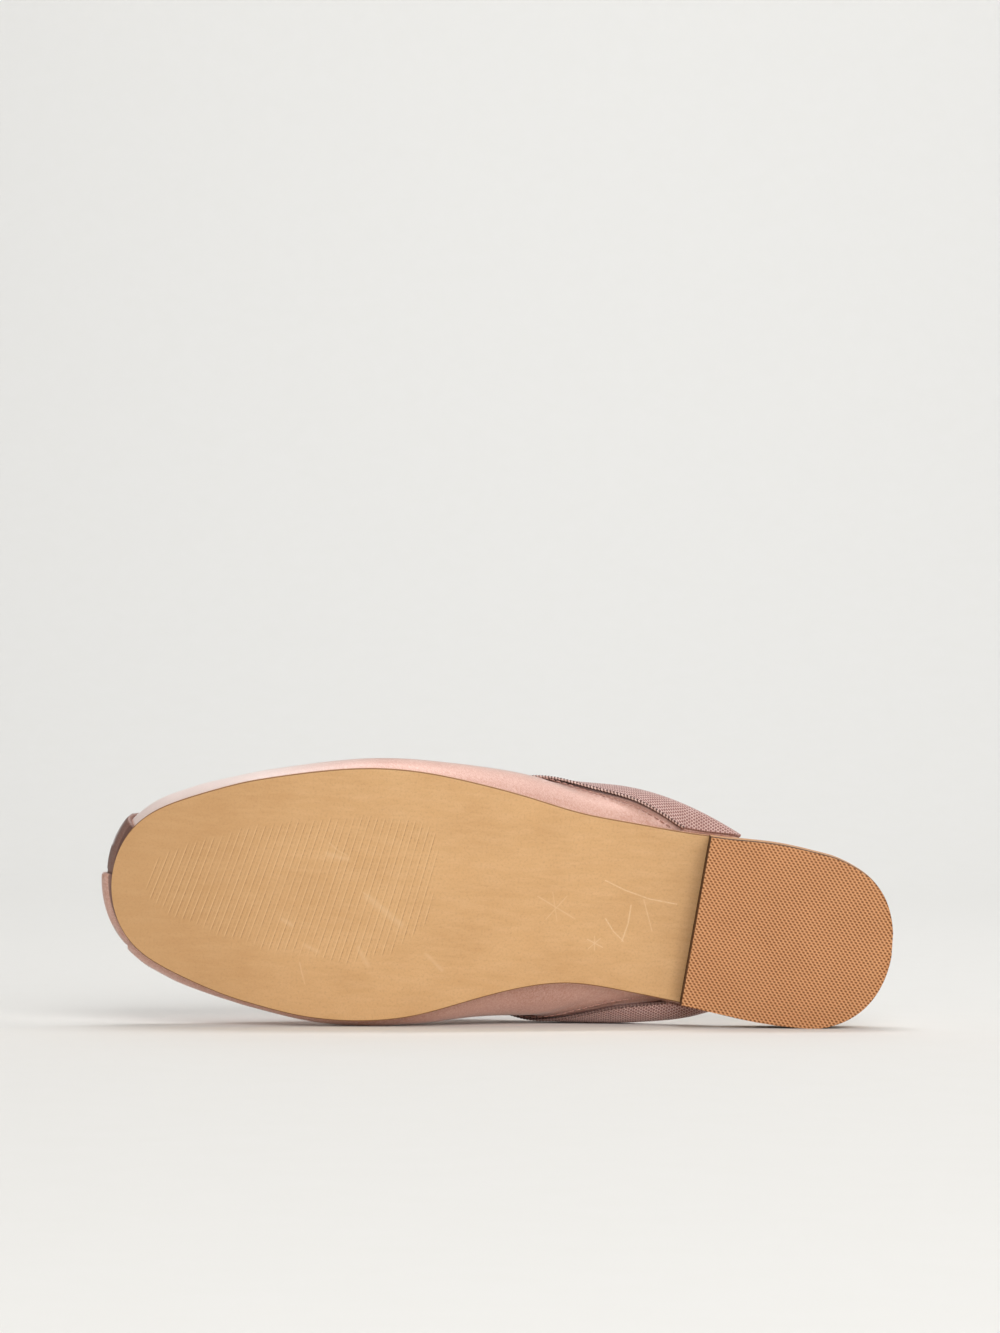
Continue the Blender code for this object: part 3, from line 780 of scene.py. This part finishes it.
def scuff_mask(finish, place):
    """How far each scratch of SCUFF_TABLE marks the place (u, v, 0)."""
    total = 0.0
    for points, half_width, strength in SCUFF_TABLE:
        for first, second in zip(points, points[1:]):
            start = (*first, 0.0)
            run = (second[0] - first[0], second[1] - first[1], 0.0)
            length = run[0] ** 2 + run[1] ** 2
            from_start = finish.vector("SUBTRACT", place, start)
            reach = finish.vector("DOT_PRODUCT", from_start, run, "Value")
            share = finish.between(reach, 0.0, length, kind="LINEAR")
            nearest = finish.add(
                "ShaderNodeVectorMath", {0: run, "Scale": share}, "Vector", operation="SCALE"
            )
            distance = finish.vector("DISTANCE", from_start, nearest, "Value")
            mark = finish.between(distance, half_width, 0.0, 0.0, strength)
            total = mark if total == 0.0 else finish.sum("MAXIMUM", total, mark)
    return total


def drawn_lines(finish, u, v):
    """The pressed lines as painted light: the painted shade in each groove and the painted highlight on
    its rim, at (u, v).
    """
    groove_width, rim_width, rim_at, second = DRAWN_LINE
    lean = finish.sum("MULTIPLY_ADD", u, LINE_FAN, LINE_LEAN - LINE_FAN * LINE_FAN_FROM)
    across = finish.sum("SUBTRACT", u, finish.sum("MULTIPLY", lean, v))
    painted_groove_shade, light = 0.0, 0.0
    for shift, strength in ((0.5, 1.0), (0.0, second)):
        place = finish.sum("FRACT", finish.sum("MULTIPLY_ADD", across, 1 / LINE_PITCH, shift))
        side = finish.sum("MULTIPLY_ADD", place, LINE_PITCH, -LINE_PITCH / 2)
        middle = finish.sum("ABSOLUTE", side)
        groove = finish.between(middle, groove_width, DRAWN_CORE, 0.0, strength)
        beside = finish.sum("ABSOLUTE", finish.sum("SUBTRACT", side, rim_at))
        rim = finish.between(beside, rim_width, DRAWN_CORE, 0.0, strength)
        painted_groove_shade = finish.sum("ADD", groove, painted_groove_shade)
        light = finish.sum("ADD", rim, light)
    return painted_groove_shade, light


def outsole_finish():
    """Marks: u, v, and how strongly the lines are pressed."""
    finish = Finish("sole_leather", 0.50)
    marks = finish.marks()
    u = finish.part_of(marks, "X")
    v = finish.part_of(marks, "Y")
    pressed = finish.part_of(marks, "Z")
    place = finish.add("ShaderNodeCombineXYZ", {"X": u, "Y": v, "Z": 0.0}, "Vector")
    cloud = finish.mottle(place, (0.035, 0.05, 0.0), 5.0, 0.6)
    grain = finish.mottle(place, (1.3, 1.3, 0.0), 5.0, 0.7)
    brush = finish.mottle(place, (0.09, 0.45, 0.0), 6.0, 0.7)
    tone = finish.two_tone(cloud, (209, 162, 109), (219, 173, 120))
    tone = finish.mix(finish.between(brush, 0.35, 0.75, 0.0, 0.40), tone, srgb(230, 188, 139))
    tone = finish.mix(finish.between(grain, 0.45, 0.75, 0.0, 0.45), tone, srgb(182, 136, 89))
    # Painted shade: the outsole darkens towards the toe, where the light falls off
    tone = finish.mix(finish.between(u, 165.0, 250.0, 0.0, 0.45), tone, srgb(193, 146, 99))
    wear = finish.mottle(place, (1.3, 1.3, 0.0), 4.0, 0.7)
    patchy = finish.mottle(place, (0.10, 0.16, 0.0), 3.0, 0.6)
    pressed = finish.sum("ADD", pressed, finish.between(patchy, 0.25, 0.75, -0.55, 0.15))
    pressed = finish.between(pressed, 0.1, 0.95)
    pressed = finish.sum("MULTIPLY", pressed, finish.between(wear, 0.35, 0.6, 0.35, 1.0))
    # Painted shade in the pressed grooves and a painted highlight on their rims
    painted_groove_shade, light = drawn_lines(finish, u, v)
    painted_groove_shade = finish.sum("MULTIPLY", painted_groove_shade, finish.sum("MULTIPLY", pressed, 0.62))
    light = finish.sum("MULTIPLY", light, finish.sum("MULTIPLY", pressed, 0.55))
    tone = finish.mix(painted_groove_shade, tone, srgb(160, 114, 70))
    tone = finish.mix(light, tone, srgb(244, 206, 156))
    scuff = scuff_mask(finish, place)
    scuff = finish.sum("MULTIPLY", scuff, finish.between(wear, 0.3, 0.6, 0.25, 1.0))
    finish.colour(finish.mix(scuff, tone, srgb(238, 204, 160)))
    finish.feed(finish.surface.inputs["Roughness"], finish.between(cloud, 0.3, 0.7, 0.46, 0.60))
    height = finish.sum("ADD", grain, finish.sum("MULTIPLY", brush, 0.6))
    height = finish.sum("SUBTRACT", height, finish.sum("MULTIPLY", scuff, 0.8))
    finish.bump(height, 0.00007, 0.55)
    finish.fix(specular=0.35)
    return finish.material


def edge_finish():
    """Marks: u, v, and the height above the outsole's underside."""
    finish = Finish("sole_edge", 0.55)
    marks = finish.marks()
    grain = finish.mottle(marks, (0.5, 0.5, 3.0), 4.0)
    tone = finish.two_tone(grain, (196, 150, 106), (216, 172, 126))
    rim = finish.between(finish.part_of(marks, "Z"), 0.9, 0.3, 0.0, 0.75)
    finish.colour(finish.mix(rim, tone, srgb(126, 82, 50)))
    finish.bump(grain, 0.00008, 0.6)
    finish.fix(specular=0.2)
    return finish.material


def rubber_finish():
    """Marks: u, v, and 0. The pits of the tread are drawn as its mesh has them, darkened as painted
    shade, with a painted highlight on the tread between them.
    """
    finish = Finish("heel_rubber", 0.58)
    marks = finish.marks()
    waves = 0.0
    for along_u, along_v, weight in lattice_waves():
        phase = finish.vector("DOT_PRODUCT", marks, (along_u, along_v, 0.0), "Value")
        waves = finish.sum("MULTIPLY_ADD", finish.sum("COSINE", phase), weight, waves)
    # Painted shade in the pits and a painted highlight on the tread between them
    pit = finish.between(waves, PIT_FROM, 1.9)
    thread = finish.between(waves, -0.4, -1.3, 0.0, 0.70)
    speck = finish.mottle(marks, (3.0, 3.0, 0.0), 4.0)
    cloud = finish.mottle(marks, (0.06, 0.06, 0.0), 3.0)
    tone = finish.two_tone(cloud, (190, 129, 81), (198, 136, 87))
    tone = finish.mix(finish.between(speck, 0.5, 0.8, 0.0, 0.35), tone, srgb(222, 166, 122))
    tone = finish.mix(thread, tone, srgb(228, 171, 123))
    finish.colour(finish.mix(finish.sum("MULTIPLY", pit, 0.90), tone, srgb(120, 72, 40)))
    finish.bump(finish.sum("SUBTRACT", finish.sum("MULTIPLY", speck, 0.3), pit), 0.00012, 0.7)
    finish.fix(specular=0.3)
    return finish.material


def stack_finish():
    """Marks: u, v, w. Two layers of leather with a pale line of glue between them."""
    finish = Finish("heel_stack", 0.50)
    marks = finish.marks()
    height = finish.part_of(marks, "Z")
    grain = finish.mottle(marks, (0.4, 0.4, 2.5), 4.0)
    tone = finish.two_tone(grain, (190, 138, 94), (208, 156, 112))
    glue = finish.sum("ABSOLUTE", finish.sum("SUBTRACT", height, STACK_LINE))
    finish.colour(finish.mix(finish.between(glue, 0.25, 0.08), tone, srgb(230, 190, 150)))
    finish.bump(grain, 0.0001, 0.6)
    finish.fix(specular=0.2)
    return finish.material


# Painted shade: dark brown on the heel's breast face and on the top lift's sides
def breast_shade_finish():
    finish = Finish("heel_breast_shade", 0.6)
    grain = finish.mottle(finish.marks(), (0.5, 0.9, 2.0), 4.0)
    finish.colour(finish.two_tone(grain, (84, 58, 36), (108, 76, 50)))
    finish.bump(grain, 0.0001, 0.6)
    finish.fix(specular=0.1)
    return finish.material


def insole_finish():
    finish = Finish("insole_leather", 0.52)
    marks = finish.marks()
    grain = finish.add(
        "ShaderNodeTexVoronoi", {"Vector": finish.vector("MULTIPLY", marks, (1.5, 1.5, 0.0)), "Scale": 1.0}
    )
    cloud = finish.mottle(marks, (0.05, 0.05, 0.0), 4.0)
    finish.colour(finish.two_tone(cloud, (206, 170, 138), (220, 186, 156)))
    finish.bump(grain, 0.00012, 0.5)
    return finish.material


# The pieces of the shoe


def satin_relief(s, t, below, edge_run, length):
    """Height of the creases, the groove and the puckers beside the ribbon, in mm."""
    height = np.zeros_like(s)
    place = np.stack([s, t * length], -1)
    for row in CREASE_TABLE:
        crease = dict(zip(CREASE_COLUMNS, row))
        ends = []
        for end in ("0", "1"):
            at = crease["s" + end]
            long = np.interp(at, s[:, 0], length[:, 0])
            ends.append(np.array([at, crease["t" + end] * long]))
        run = ends[1] - ends[0]
        share = np.clip(((place - ends[0]) @ run) / (run @ run), 0, 1)
        distance = np.linalg.norm(place - ends[0] - share[..., None] * run, axis=-1)
        height += crease["height"] * bell(distance / crease["half_width"])
    ripple = 0.5 - 0.5 * np.cos(2 * math.pi * edge_run / PUCKER_PITCH + 1.3 * np.sin(edge_run / 7.0))
    strength = 0.6 + 0.4 * np.sin(edge_run / 11.0 + 0.7)
    outside = smooth_step(below / 0.4)
    height -= PUCKER_DEPTH * ripple * strength * np.exp(-np.abs(below) / PUCKER_REACH) * outside
    height -= GROOVE_DEPTH * bell((below - 0.5) / GROOVE_WIDTH) * outside
    height -= TROUGH_DEPTH * bell((below - TROUGH_AT) / TROUGH_WIDTH) * outside
    return height * smooth_step(t / 0.06)


def satin_stations():
    """The lines of the satin: where they lie flat, where they are folded, their fold's height."""
    step = 0.62 * COARSE
    even = np.linspace(FIRST, LAST, int((LAST - FIRST) / step))
    positions = column(PLEAT_TABLE, PLEAT_COLUMNS, "position")
    first, last = FOLD_TABLE[0][0], FOLD_TABLE[-1][0]
    near = [(even > p + first - 0.3) & (even < p + last + 0.3) for p in positions]
    plain = even[~np.any(near, axis=0)]
    lines = [(s, s, tooth_height(np.array([s]))[0]) for s in plain]
    for position in positions:
        for flat, folded, share in FOLD_TABLE:
            full = tooth_height(np.array([position + min(folded, -0.01)]))[0]
            lines.append((position + flat, position + folded, share * full))
    return np.array(sorted(lines)).T


def make_satin_upper(satin, lining):
    flat, folded, tooth = satin_stations()
    visible = rows_by_length(flat, "sole", "ribbon", 46 // COARSE)
    hidden = rows_by_length(flat, "ribbon", "collar", 5)
    inside = rows_by_length(flat, "sole", "collar", 22 // COARSE)
    rows = np.concatenate([visible, hidden[:, 1:]], 1)
    outer_count, edge = rows.shape[1], visible.shape[1] - 1
    fade = pleat_fade(rows)
    s = flat[:, None] * (1 - fade) + folded[:, None] * fade
    points, outward = upper_surface(s, rows)
    run = run_along(points)
    below = run[:, edge : edge + 1] - run
    edge_run = run_along(points[:, edge])[:, None]
    relief = satin_relief(s, rows, below, edge_run, run[:, -1:])
    outer = points + outward * (tooth[:, None] * fade + relief)[..., None]
    inner_points, inner_outward = upper_surface(flat[:, None] * np.ones_like(inside), inside)
    inner = (inner_points - inner_outward * UPPER_WALL)[:, ::-1]
    loops = np.concatenate([outer, inner], 1)
    # The painted shade under the ribbon stops where the ribbon comes down to the sole
    start = ribbon_start(flat)[1]
    held = smooth_step(1 - (start - RIBBON_CLEARANCE) / 0.8)[:, None]
    marks = np.zeros_like(loops)
    marks[..., 0] = flat[:, None]
    marks[:, :outer_count, 1] = below + 6.0 * held
    marks[:, outer_count:, 1] = inside[:, ::-1] * 60
    marks[:, :outer_count, 2] = run
    slots = np.array([0] * (outer_count - 1) + [1] * inside.shape[1] + [0])
    piece = lay("satin_upper", loops, [satin, lining], slots, marks, 50)
    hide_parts("upper")


def along_ribbon(step, share):
    """Distances s at even steps along the ribbon, measured at that share of its width."""
    s = np.linspace(FIRST, LAST, 1200)
    low, _, _, _ = ribbon_start(s)
    points, _ = upper_surface(s[:, None], (low + (1 - low) * share)[:, None])
    run = run_along(points[:, 0])
    at = np.linspace(0, run[-1], int(run[-1] / step))
    return np.interp(at, run, s), at


def make_ribbon(grosgrain):
    per_rib = 4 if COARSE == 1 else 2
    s, at = along_ribbon(RIB_PITCH / per_rib, 0.5)
    outer_rows, inner_rows = 11, 7
    rows = rows_by_length(s, "ribbon", "collar", outer_rows)
    points, outward = upper_surface(s[:, None] * np.ones_like(rows), rows)
    phase = 2 * math.pi * at / RIB_PITCH
    rib = (0.5 + 0.5 * np.cos(phase))[:, None, None]
    near, far = RIBBON_GAP, RIBBON_GAP + RIBBON_THICKNESS
    corner = RIBBON_GAP * RIBBON_CORNER
    inner, inner_way = points[:, -inner_rows:], outward[:, -inner_rows:]
    edge, way = points[:, -1:], outward[:, -1:]
    beyond = unit(edge - points[:, -2:-1])
    relief = RIB_RELIEF * (rib - 0.5)
    skin = np.concatenate([
        points + outward * (far + relief),
        edge + way * (near + 0.1) + beyond * (far + relief),
        edge - way * (UPPER_WALL / 2) + beyond * (far + 0.15 + relief),
        edge - way * (UPPER_WALL + near + 0.1) + beyond * (far + relief),
        (inner - inner_way * (UPPER_WALL + far + relief))[:, ::-1],
    ], 1)
    hollow = np.concatenate([
        inner - inner_way * (UPPER_WALL + near),
        edge - way * (UPPER_WALL + corner) + beyond * near,
        edge + way * corner + beyond * near,
        (points + outward * near)[:, ::-1],
    ], 1)
    loops = np.concatenate([skin, hollow], 1)
    marks = np.zeros_like(loops)
    marks[..., 0] = at[:, None]
    marks[:, : skin.shape[1], 1] = run_along(skin)
    marks[..., 2] = rib[..., 0]
    piece = lay("ribbon_binding", loops, [grosgrain], None, marks, 60)
    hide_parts("binding")


def ribbon_edge(step, below):
    """Points beside the ribbon's lower edge, with the outward way and the way down the upper."""
    s, at = along_ribbon(step, 0.0)
    _, start, run, t = ribbon_start(s)
    free = start > RIBBON_CLEARANCE + max(0.2, below - 1.0)
    s, at, run = s[free], at[free], run[free]
    wanted = start[free] - below
    rows = np.array([np.interp(wanted[k], run[k], t) for k in range(len(s))])
    lower = np.array([np.interp(wanted[k] - 0.3, run[k], t) for k in range(len(s))])
    points, outward = upper_surface(s, rows)
    down = unit(upper_surface(s, lower)[0] - points)
    return points, outward, down, at


def make_selvedge(finish):
    points, outward, down, at = ribbon_edge(0.2 * COARSE, 0.1)
    centre = points + outward * (RIBBON_GAP + RIBBON_THICKNESS * 0.55)
    strands = []
    for turn in (0.0, math.pi):
        phase = (2 * math.pi * at / SELVEDGE_PITCH + turn)[:, None]
        strands.append(centre + SELVEDGE_TWIST * (np.cos(phase) * outward + np.sin(phase) * down))
    paths = np.array(strands)
    radii = np.full(len(at), SELVEDGE_RADIUS)
    marks = np.zeros((2, len(at), SELVEDGE_SIDES, 3))
    marks[..., 0] = at[:, None]
    marks[..., 1] = points[:, 1, None]
    ways = np.array([outward, outward])
    piece = tubes("selvedge", paths, ways, radii, SELVEDGE_SIDES, [finish], marks)


def make_topstitch(finish):
    points, outward, down, at = ribbon_edge(0.1, STITCH_BELOW)
    count = int(at[-1] / STITCH_PITCH) - 1
    shares = np.array([0.0, 0.18, 0.5, 0.82, 1.0])
    rise = np.array([-0.12, 0.06, 0.10, 0.06, -0.12])
    radii = STITCH_RADIUS * np.array([0.5, 1.0, 1.0, 1.0, 0.5])
    begin = at[0] + STITCH_PITCH * np.arange(count)
    places = begin[:, None] + shares * STITCH_LENGTH
    places = places[places[:, -1] < at[-1]]
    paths = np.stack([np.interp(places, at, points[:, k]) for k in range(3)], -1)
    ways = unit(np.stack([np.interp(places, at, outward[:, k]) for k in range(3)], -1))
    piece = tubes("topstitch", paths + ways * rise[:, None], ways, radii, 6, [finish])


def patch_mask(u, v):
    """1 where the outsole is pressed with lines, fading to 0 round the patch."""
    at = column(PATCH_TABLE, PATCH_COLUMNS, "u")
    low = np.interp(u, at, column(PATCH_TABLE, PATCH_COLUMNS, "low"))
    high = np.interp(u, at, column(PATCH_TABLE, PATCH_COLUMNS, "high"))
    inside = np.minimum(v - low, high - v)
    ends = np.minimum(u - at[0], at[-1] - u)
    return smooth_step(inside / PATCH_FADE + 0.3) * smooth_step(ends / PATCH_FADE)


def line_lean(u):
    return LINE_LEAN + LINE_FAN * (u - LINE_FAN_FROM)


def pressed_lines(u, v):
    """Depth share of the pressed lines, and of the raised rim along one side of each."""
    groove_width, rim_width, rim_at, second = PRESSED_LINE
    place = (u - line_lean(u) * v) / LINE_PITCH
    groove, rim = 0.0, 0.0
    for shift, strength in ((0.5, 1.0), (0.0, second)):
        side = ((place + shift) % 1 - 0.5) * LINE_PITCH
        groove = groove + strength * bell(side / groove_width)
        rim = rim + strength * bell((side - rim_at) / rim_width)
    mask = patch_mask(u, v)
    return groove * mask, rim * mask


def outsole_stations():
    step = LINE_PITCH / 8 * COARSE
    plain = 0.8 * COARSE
    heel = HEEL_ROUND_TO * (1 - np.cos(np.linspace(0, math.pi / 2, 37)[1:]))
    toe_run = SOLE_LENGTH - TOE_ROUND_FROM
    first_angle = math.asin((LINES_TO - TOE_ROUND_FROM) / toe_run)
    toe_angle = np.linspace(first_angle, math.pi / 2, 31)[1:-1]
    return np.concatenate([
        heel,
        np.arange(HEEL_ROUND_TO + plain, LINES_FROM, plain),
        np.arange(LINES_FROM, LINES_TO, step),
        TOE_ROUND_FROM + toe_run * np.sin(toe_angle),
    ])


def make_outsole(leather, edge):
    stations = outsole_stations()[:, None]
    share = np.linspace(0, 1, 98 // COARSE)[None]
    medial, lateral = sole_edge(stations, -1), sole_edge(stations, 1)
    window = smooth_step((stations - 118) / 20) * smooth_step((246 - stations) / 14)
    edge_fade = smooth_step(share * 8) * smooth_step((1 - share) * 8)
    u = stations + 0 * share
    for _ in range(4):
        low, high = sole_edge(u, -1), sole_edge(u, 1)
        v = low + (high - low) * share
        u = stations + line_lean(u) * v * window * edge_fade
    low, high = sole_edge(u, -1), sole_edge(u, 1)
    cut = np.minimum(OUTSOLE_BEVEL, 0.4 * (high - low) / 2)
    v = low + cut + (high - low - 2 * cut) * share
    groove, rim = pressed_lines(u, v)
    under = np.stack([u, v, sole_bottom(u) + LINE_DEPTH * groove - 0.5 * LINE_DEPTH * rim], 2)
    bottom = sole_bottom(stations)
    half = (lateral - medial) / 2
    bevel = np.minimum(OUTSOLE_BEVEL, 0.4 * half)
    turn = np.linspace(0.3, math.pi / 2, 4)
    walls = []
    for sign, line in ((1, lateral), (-1, medial)):
        wall_v = np.concatenate([
            line - sign * bevel * (1 - np.sin(turn)),
            line + np.zeros(4),
            line - sign * bevel * np.array([0.3, 1.0]),
        ], 1)
        wall_w = np.concatenate([
            bottom + bevel * (1 - np.cos(turn)),
            bottom + bevel + (OUTSOLE_THICKNESS - 2 * bevel) * np.linspace(0.2, 1, 4),
            bottom + OUTSOLE_THICKNESS - bevel * np.array([0.3, 0.0]),
        ], 1)
        walls.append(np.stack([stations + 0 * wall_v, wall_v, wall_w], 2))
    over_share = np.linspace(0, 1, 14)[None, 1:-1]
    over_v = lateral - bevel + (medial - lateral + 2 * bevel) * over_share
    over_w = bottom + OUTSOLE_THICKNESS + 0 * over_v
    over = np.stack([stations + 0 * over_v, over_v, over_w], 2)
    loops = np.concatenate([under, walls[0], over, walls[1][:, ::-1]], 1)
    count = share.shape[1]
    marks = loops.copy()
    marks[..., 2] -= bottom
    marks[:, :count, 2] = patch_mask(u, v)
    slots = np.array([0] * (count - 1) + [1] * (loops.shape[1] - count + 1))
    piece = lay("leather_outsole", loops, [leather, edge], slots, marks, 40)
    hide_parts("outsole")


def heel_face(height, share, across, extra=0.0):
    """Points of a level cut through the heel, an array (sections, points across, 3)."""
    inset = HEEL_TAPER * (1 - height / HEEL_HEIGHT) + extra
    start = inset + HEEL_TIP
    share = share[:, None]
    station = start + (BREAST_MEDIAL - start) * share - inset
    medial, lateral = sole_edge(station, -1), sole_edge(station, 1)
    middle = (medial + lateral) / 2
    v = medial + (lateral - medial) * across
    v = middle + (v - middle) * (1 - inset / HEEL_HALF_WIDTH)
    breast = BREAST_MEDIAL + (BREAST_LATERAL - BREAST_MEDIAL) * across
    u = start + (breast - start) * share
    return np.stack([u, v, np.full(v.shape, height)], 2)


def heel_loops(under, over, share, sides):
    """Loops round a piece of the heel, with its sides through lines of (height, inset)."""
    walls = []
    for across in (1.0, 0.0):
        rows = [heel_face(height, share, np.array([across]), inset) for height, inset in sides]
        walls.append(np.concatenate(rows, 1))
    return np.concatenate([under, walls[0], over, walls[1][:, ::-1]], 1)


def heel_shares(fine):
    """Shares of the way from the heel's back to the breast, close together round the back."""
    round_part = 0.12 * (1 - np.cos(np.linspace(0, math.pi / 2, 26)[:-1]))
    return np.concatenate([round_part, np.linspace(0.12, 1, fine)])


def lattice_waves():
    """The waves of the tread: radians per millimetre along u and along v, and weight."""
    waves = []
    for angle, period, weight in LATTICE_TABLE:
        turn = math.radians(angle - LATTICE_TURN)
        rate = 2 * math.pi / period
        waves.append((-math.cos(turn) * rate, -math.sin(turn) * rate, weight))
    return waves


def lattice(u, v):
    """1 in the middle of a pit of the heel's tread, 0 between the pits."""
    total = sum(weight * np.cos(u * a + v * b) for a, b, weight in lattice_waves())
    return smooth_step((total - PIT_FROM) / PIT_RISE)


def make_top_lift(rubber, breast):
    share = heel_shares(225 // COARSE)
    across = np.linspace(0, 1, 214 // COARSE)
    tread = heel_face(0.0, share, across)
    pit = lattice(tread[..., 0], tread[..., 1])
    tread[..., 2] += LATTICE_DEPTH * pit
    over = heel_face(TOP_LIFT_THICKNESS, share, np.linspace(1, 0, 12), 0.1)
    loops = heel_loops(tread, over, share, LIFT_TABLE)
    marks = loops.copy()
    marks[..., 2] = 0
    slots = np.array([0] * (len(across) - 1) + [1] * (loops.shape[1] - len(across) + 1))
    piece = lay("heel_top_lift", loops, [rubber, breast], slots, marks, 40)
    for cap in (1, 2):
        piece.data.polygons[len(piece.data.polygons) - cap].material_index = 1
    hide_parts("top_lift")


def make_heel_stack(stack, breast):
    share = heel_shares(90 // COARSE)
    under = heel_face(STACK_LOW, share, np.linspace(0, 1, 12), 0.4)
    over = heel_face(STACK_HIGH, share, np.linspace(1, 0, 12), 0.4)
    loops = heel_loops(under, over, share, STACK_TABLE)
    piece = lay("heel_stack_layers", loops, [stack, breast], None, loops.copy(), 40)
    piece.data.polygons[len(piece.data.polygons) - 1].material_index = 1
    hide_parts("heel_block")


def make_footbed(leather):
    """The padded leather footbed, softly crowned, as wide as the sole at the open heel."""
    length = SOLE_LENGTH - UPPER_WALL - FOOTBED_TOE_GAP
    angle = np.linspace(0, math.pi, 190 // COARSE)[1:-1]
    stations = ((FOOTBED_RIM + length) / 2 - (length - FOOTBED_RIM) / 2 * np.cos(angle))[:, None]
    inside = UPPER_WALL + RIBBON_THICKNESS + 2 * RIBBON_GAP + 2 * GAP
    edges = []
    for side, end in ((-1, END_MEDIAL), (1, END_LATERAL)):
        narrowing = smooth_step((stations - end + FOOTBED_NARROWING) / FOOTBED_NARROWING)
        inset = FOOTBED_RIM + (inside - FOOTBED_RIM) * narrowing
        edges.append(sole_edge(stations * SOLE_LENGTH / length, side) - side * inset)
    middle = (edges[0] + edges[1]) / 2
    medial = np.minimum(edges[0], middle - FOOTBED_TIP_HALF)
    lateral = np.maximum(edges[1], middle + FOOTBED_TIP_HALF)
    half = (lateral - medial) / 2
    bottom = sole_bottom(stations) + OUTSOLE_THICKNESS + GAP
    turn = np.linspace(0, math.pi / 2, 5)[None]
    round_in = np.minimum(FOOTBED_BEVEL, 0.4 * half)
    share = np.linspace(-1, 1, 60 // COARSE)[None]
    crown = 0.45 * np.minimum(1, half / 12)
    top_v = middle + (half - round_in) * share
    top_w = bottom + INSOLE_THICKNESS + crown * (1 - share**4)
    under_v = middle + (half - round_in) * np.linspace(1, -1, 10)[None]
    under_w = bottom + 0 * under_v
    right_v = lateral - round_in * (1 - np.cos(turn))
    right_w = bottom + INSOLE_THICKNESS - round_in * (1 - np.sin(turn))
    left_v = medial + round_in * (1 - np.cos(turn))
    v = np.concatenate([top_v, right_v[:, ::-1], lateral, under_v, medial, left_v], 1)
    w = np.concatenate([
        top_w, right_w[:, ::-1], bottom + round_in, under_w, bottom + round_in, right_w,
    ], 1)
    loops = np.stack([stations + 0 * v, v, w], 2)
    piece = lay("padded_footbed", loops, [leather], None, loops.copy(), 40)
    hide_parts("insole")


make_satin_upper(satin_finish(), lining_finish())
make_ribbon(grosgrain_finish())
make_selvedge(selvedge_finish())
make_topstitch(thread_finish("stitch_thread", (184, 132, 118), (212, 166, 152)))
make_outsole(outsole_finish(), edge_finish())
BREAST_SHADE = breast_shade_finish()
make_top_lift(rubber_finish(), BREAST_SHADE)
make_heel_stack(stack_finish(), BREAST_SHADE)
make_footbed(insole_finish())


# The studio

FLOOR_FRONT = -2.5
FLOOR_BACK = 1.6
SWEEP_RADIUS = 1.2
WALL_TOP = 4.0
HALF_WIDTH = 4.0


def make_sweep():
    """A pale floor that curves up into a wall far behind the shoe."""
    turn = np.linspace(0, math.pi / 2, 33)
    y = np.concatenate([[FLOOR_FRONT], FLOOR_BACK + SWEEP_RADIUS * np.sin(turn), [0]])
    z = np.concatenate([[0], SWEEP_RADIUS * (1 - np.cos(turn)), [WALL_TOP]])
    y[-1] = y[-2]
    corners = [(x, a, b) for a, b in zip(y, z) for x in (-HALF_WIDTH, HALF_WIDTH)]
    faces = [(2 * k, 2 * k + 1, 2 * k + 3, 2 * k + 2) for k in range(len(y) - 1)]
    data = bpy.data.meshes.new("studio_sweep")
    data.from_pydata(corners, [], faces)
    data.shade_smooth()
    finish = Finish("studio_paper", 0.9)
    grain = finish.noise(finish.add("ShaderNodeTexCoord", {}, "Object"), 60.0, 3.0)
    finish.colour(finish.mix(grain, srgb(233, 231, 226), srgb(235, 233, 229)))
    finish.fix(specular=0.1)
    data.materials.append(finish.material)
    sweep = bpy.data.objects.new("studio_sweep", data)
    bpy.context.scene.collection.objects.link(sweep)


def area_light(name, place, target, size, power, colour=(1.0, 1.0, 1.0)):
    data = bpy.data.lights.new(name, "AREA")
    data.shape = "RECTANGLE"
    data.size, data.size_y = size
    data.energy = power
    data.color = colour
    light = bpy.data.objects.new(name, data)
    light.location = place
    light.rotation_euler = (Vector(target) - Vector(place)).to_track_quat("-Z", "Y").to_euler()
    bpy.context.scene.collection.objects.link(light)


def make_world(colour, strength):
    world = bpy.data.worlds.new("studio")
    world.use_nodes = True
    background = world.node_tree.nodes["Background"]
    background.inputs["Color"].default_value = colour
    background.inputs["Strength"].default_value = strength
    bpy.context.scene.world = world


def make_camera(place, pitch, yaw, roll, lens=100.0, sensor=36.0):
    data = bpy.data.cameras.new("camera")
    data.sensor_fit = "VERTICAL"
    data.sensor_height = sensor
    data.lens = lens
    camera = bpy.data.objects.new("camera", data)
    camera.location = place
    level = Matrix.Rotation(math.radians(yaw), 3, "Z")
    tilt = Matrix.Rotation(math.radians(90 + pitch), 3, "X")
    camera.rotation_euler = (level @ tilt @ Matrix.Rotation(math.radians(roll), 3, "Z")).to_euler()
    bpy.context.scene.collection.objects.link(camera)
    bpy.context.scene.camera = camera


make_sweep()
make_world(srgb(246, 249, 252), 0.05)
area_light("key", (0.45, -1.95, 1.11), (0.0, 0.0, 0.03), (1.5, 1.35), 38.5)
area_light("side", (1.4, 0.25, 1.05), (0.0, 0.0, 0.03), (0.8, 0.8), 3.6)
area_light("top", (0.08, 0.02, 1.5), (0.0, 0.0, 0.0), (1.0, 0.7), 5.4)
area_light("wall", (0.4, 1.0, 3.2), (0.0, 2.6, 1.9), (3.0, 1.0), 85.0, srgb(250, 252, 255)[:3])
make_camera((-0.0140, -1.2049, 0.071), 2.125, -0.715, 0.272)
bpy.context.scene.view_settings.view_transform = "Standard"
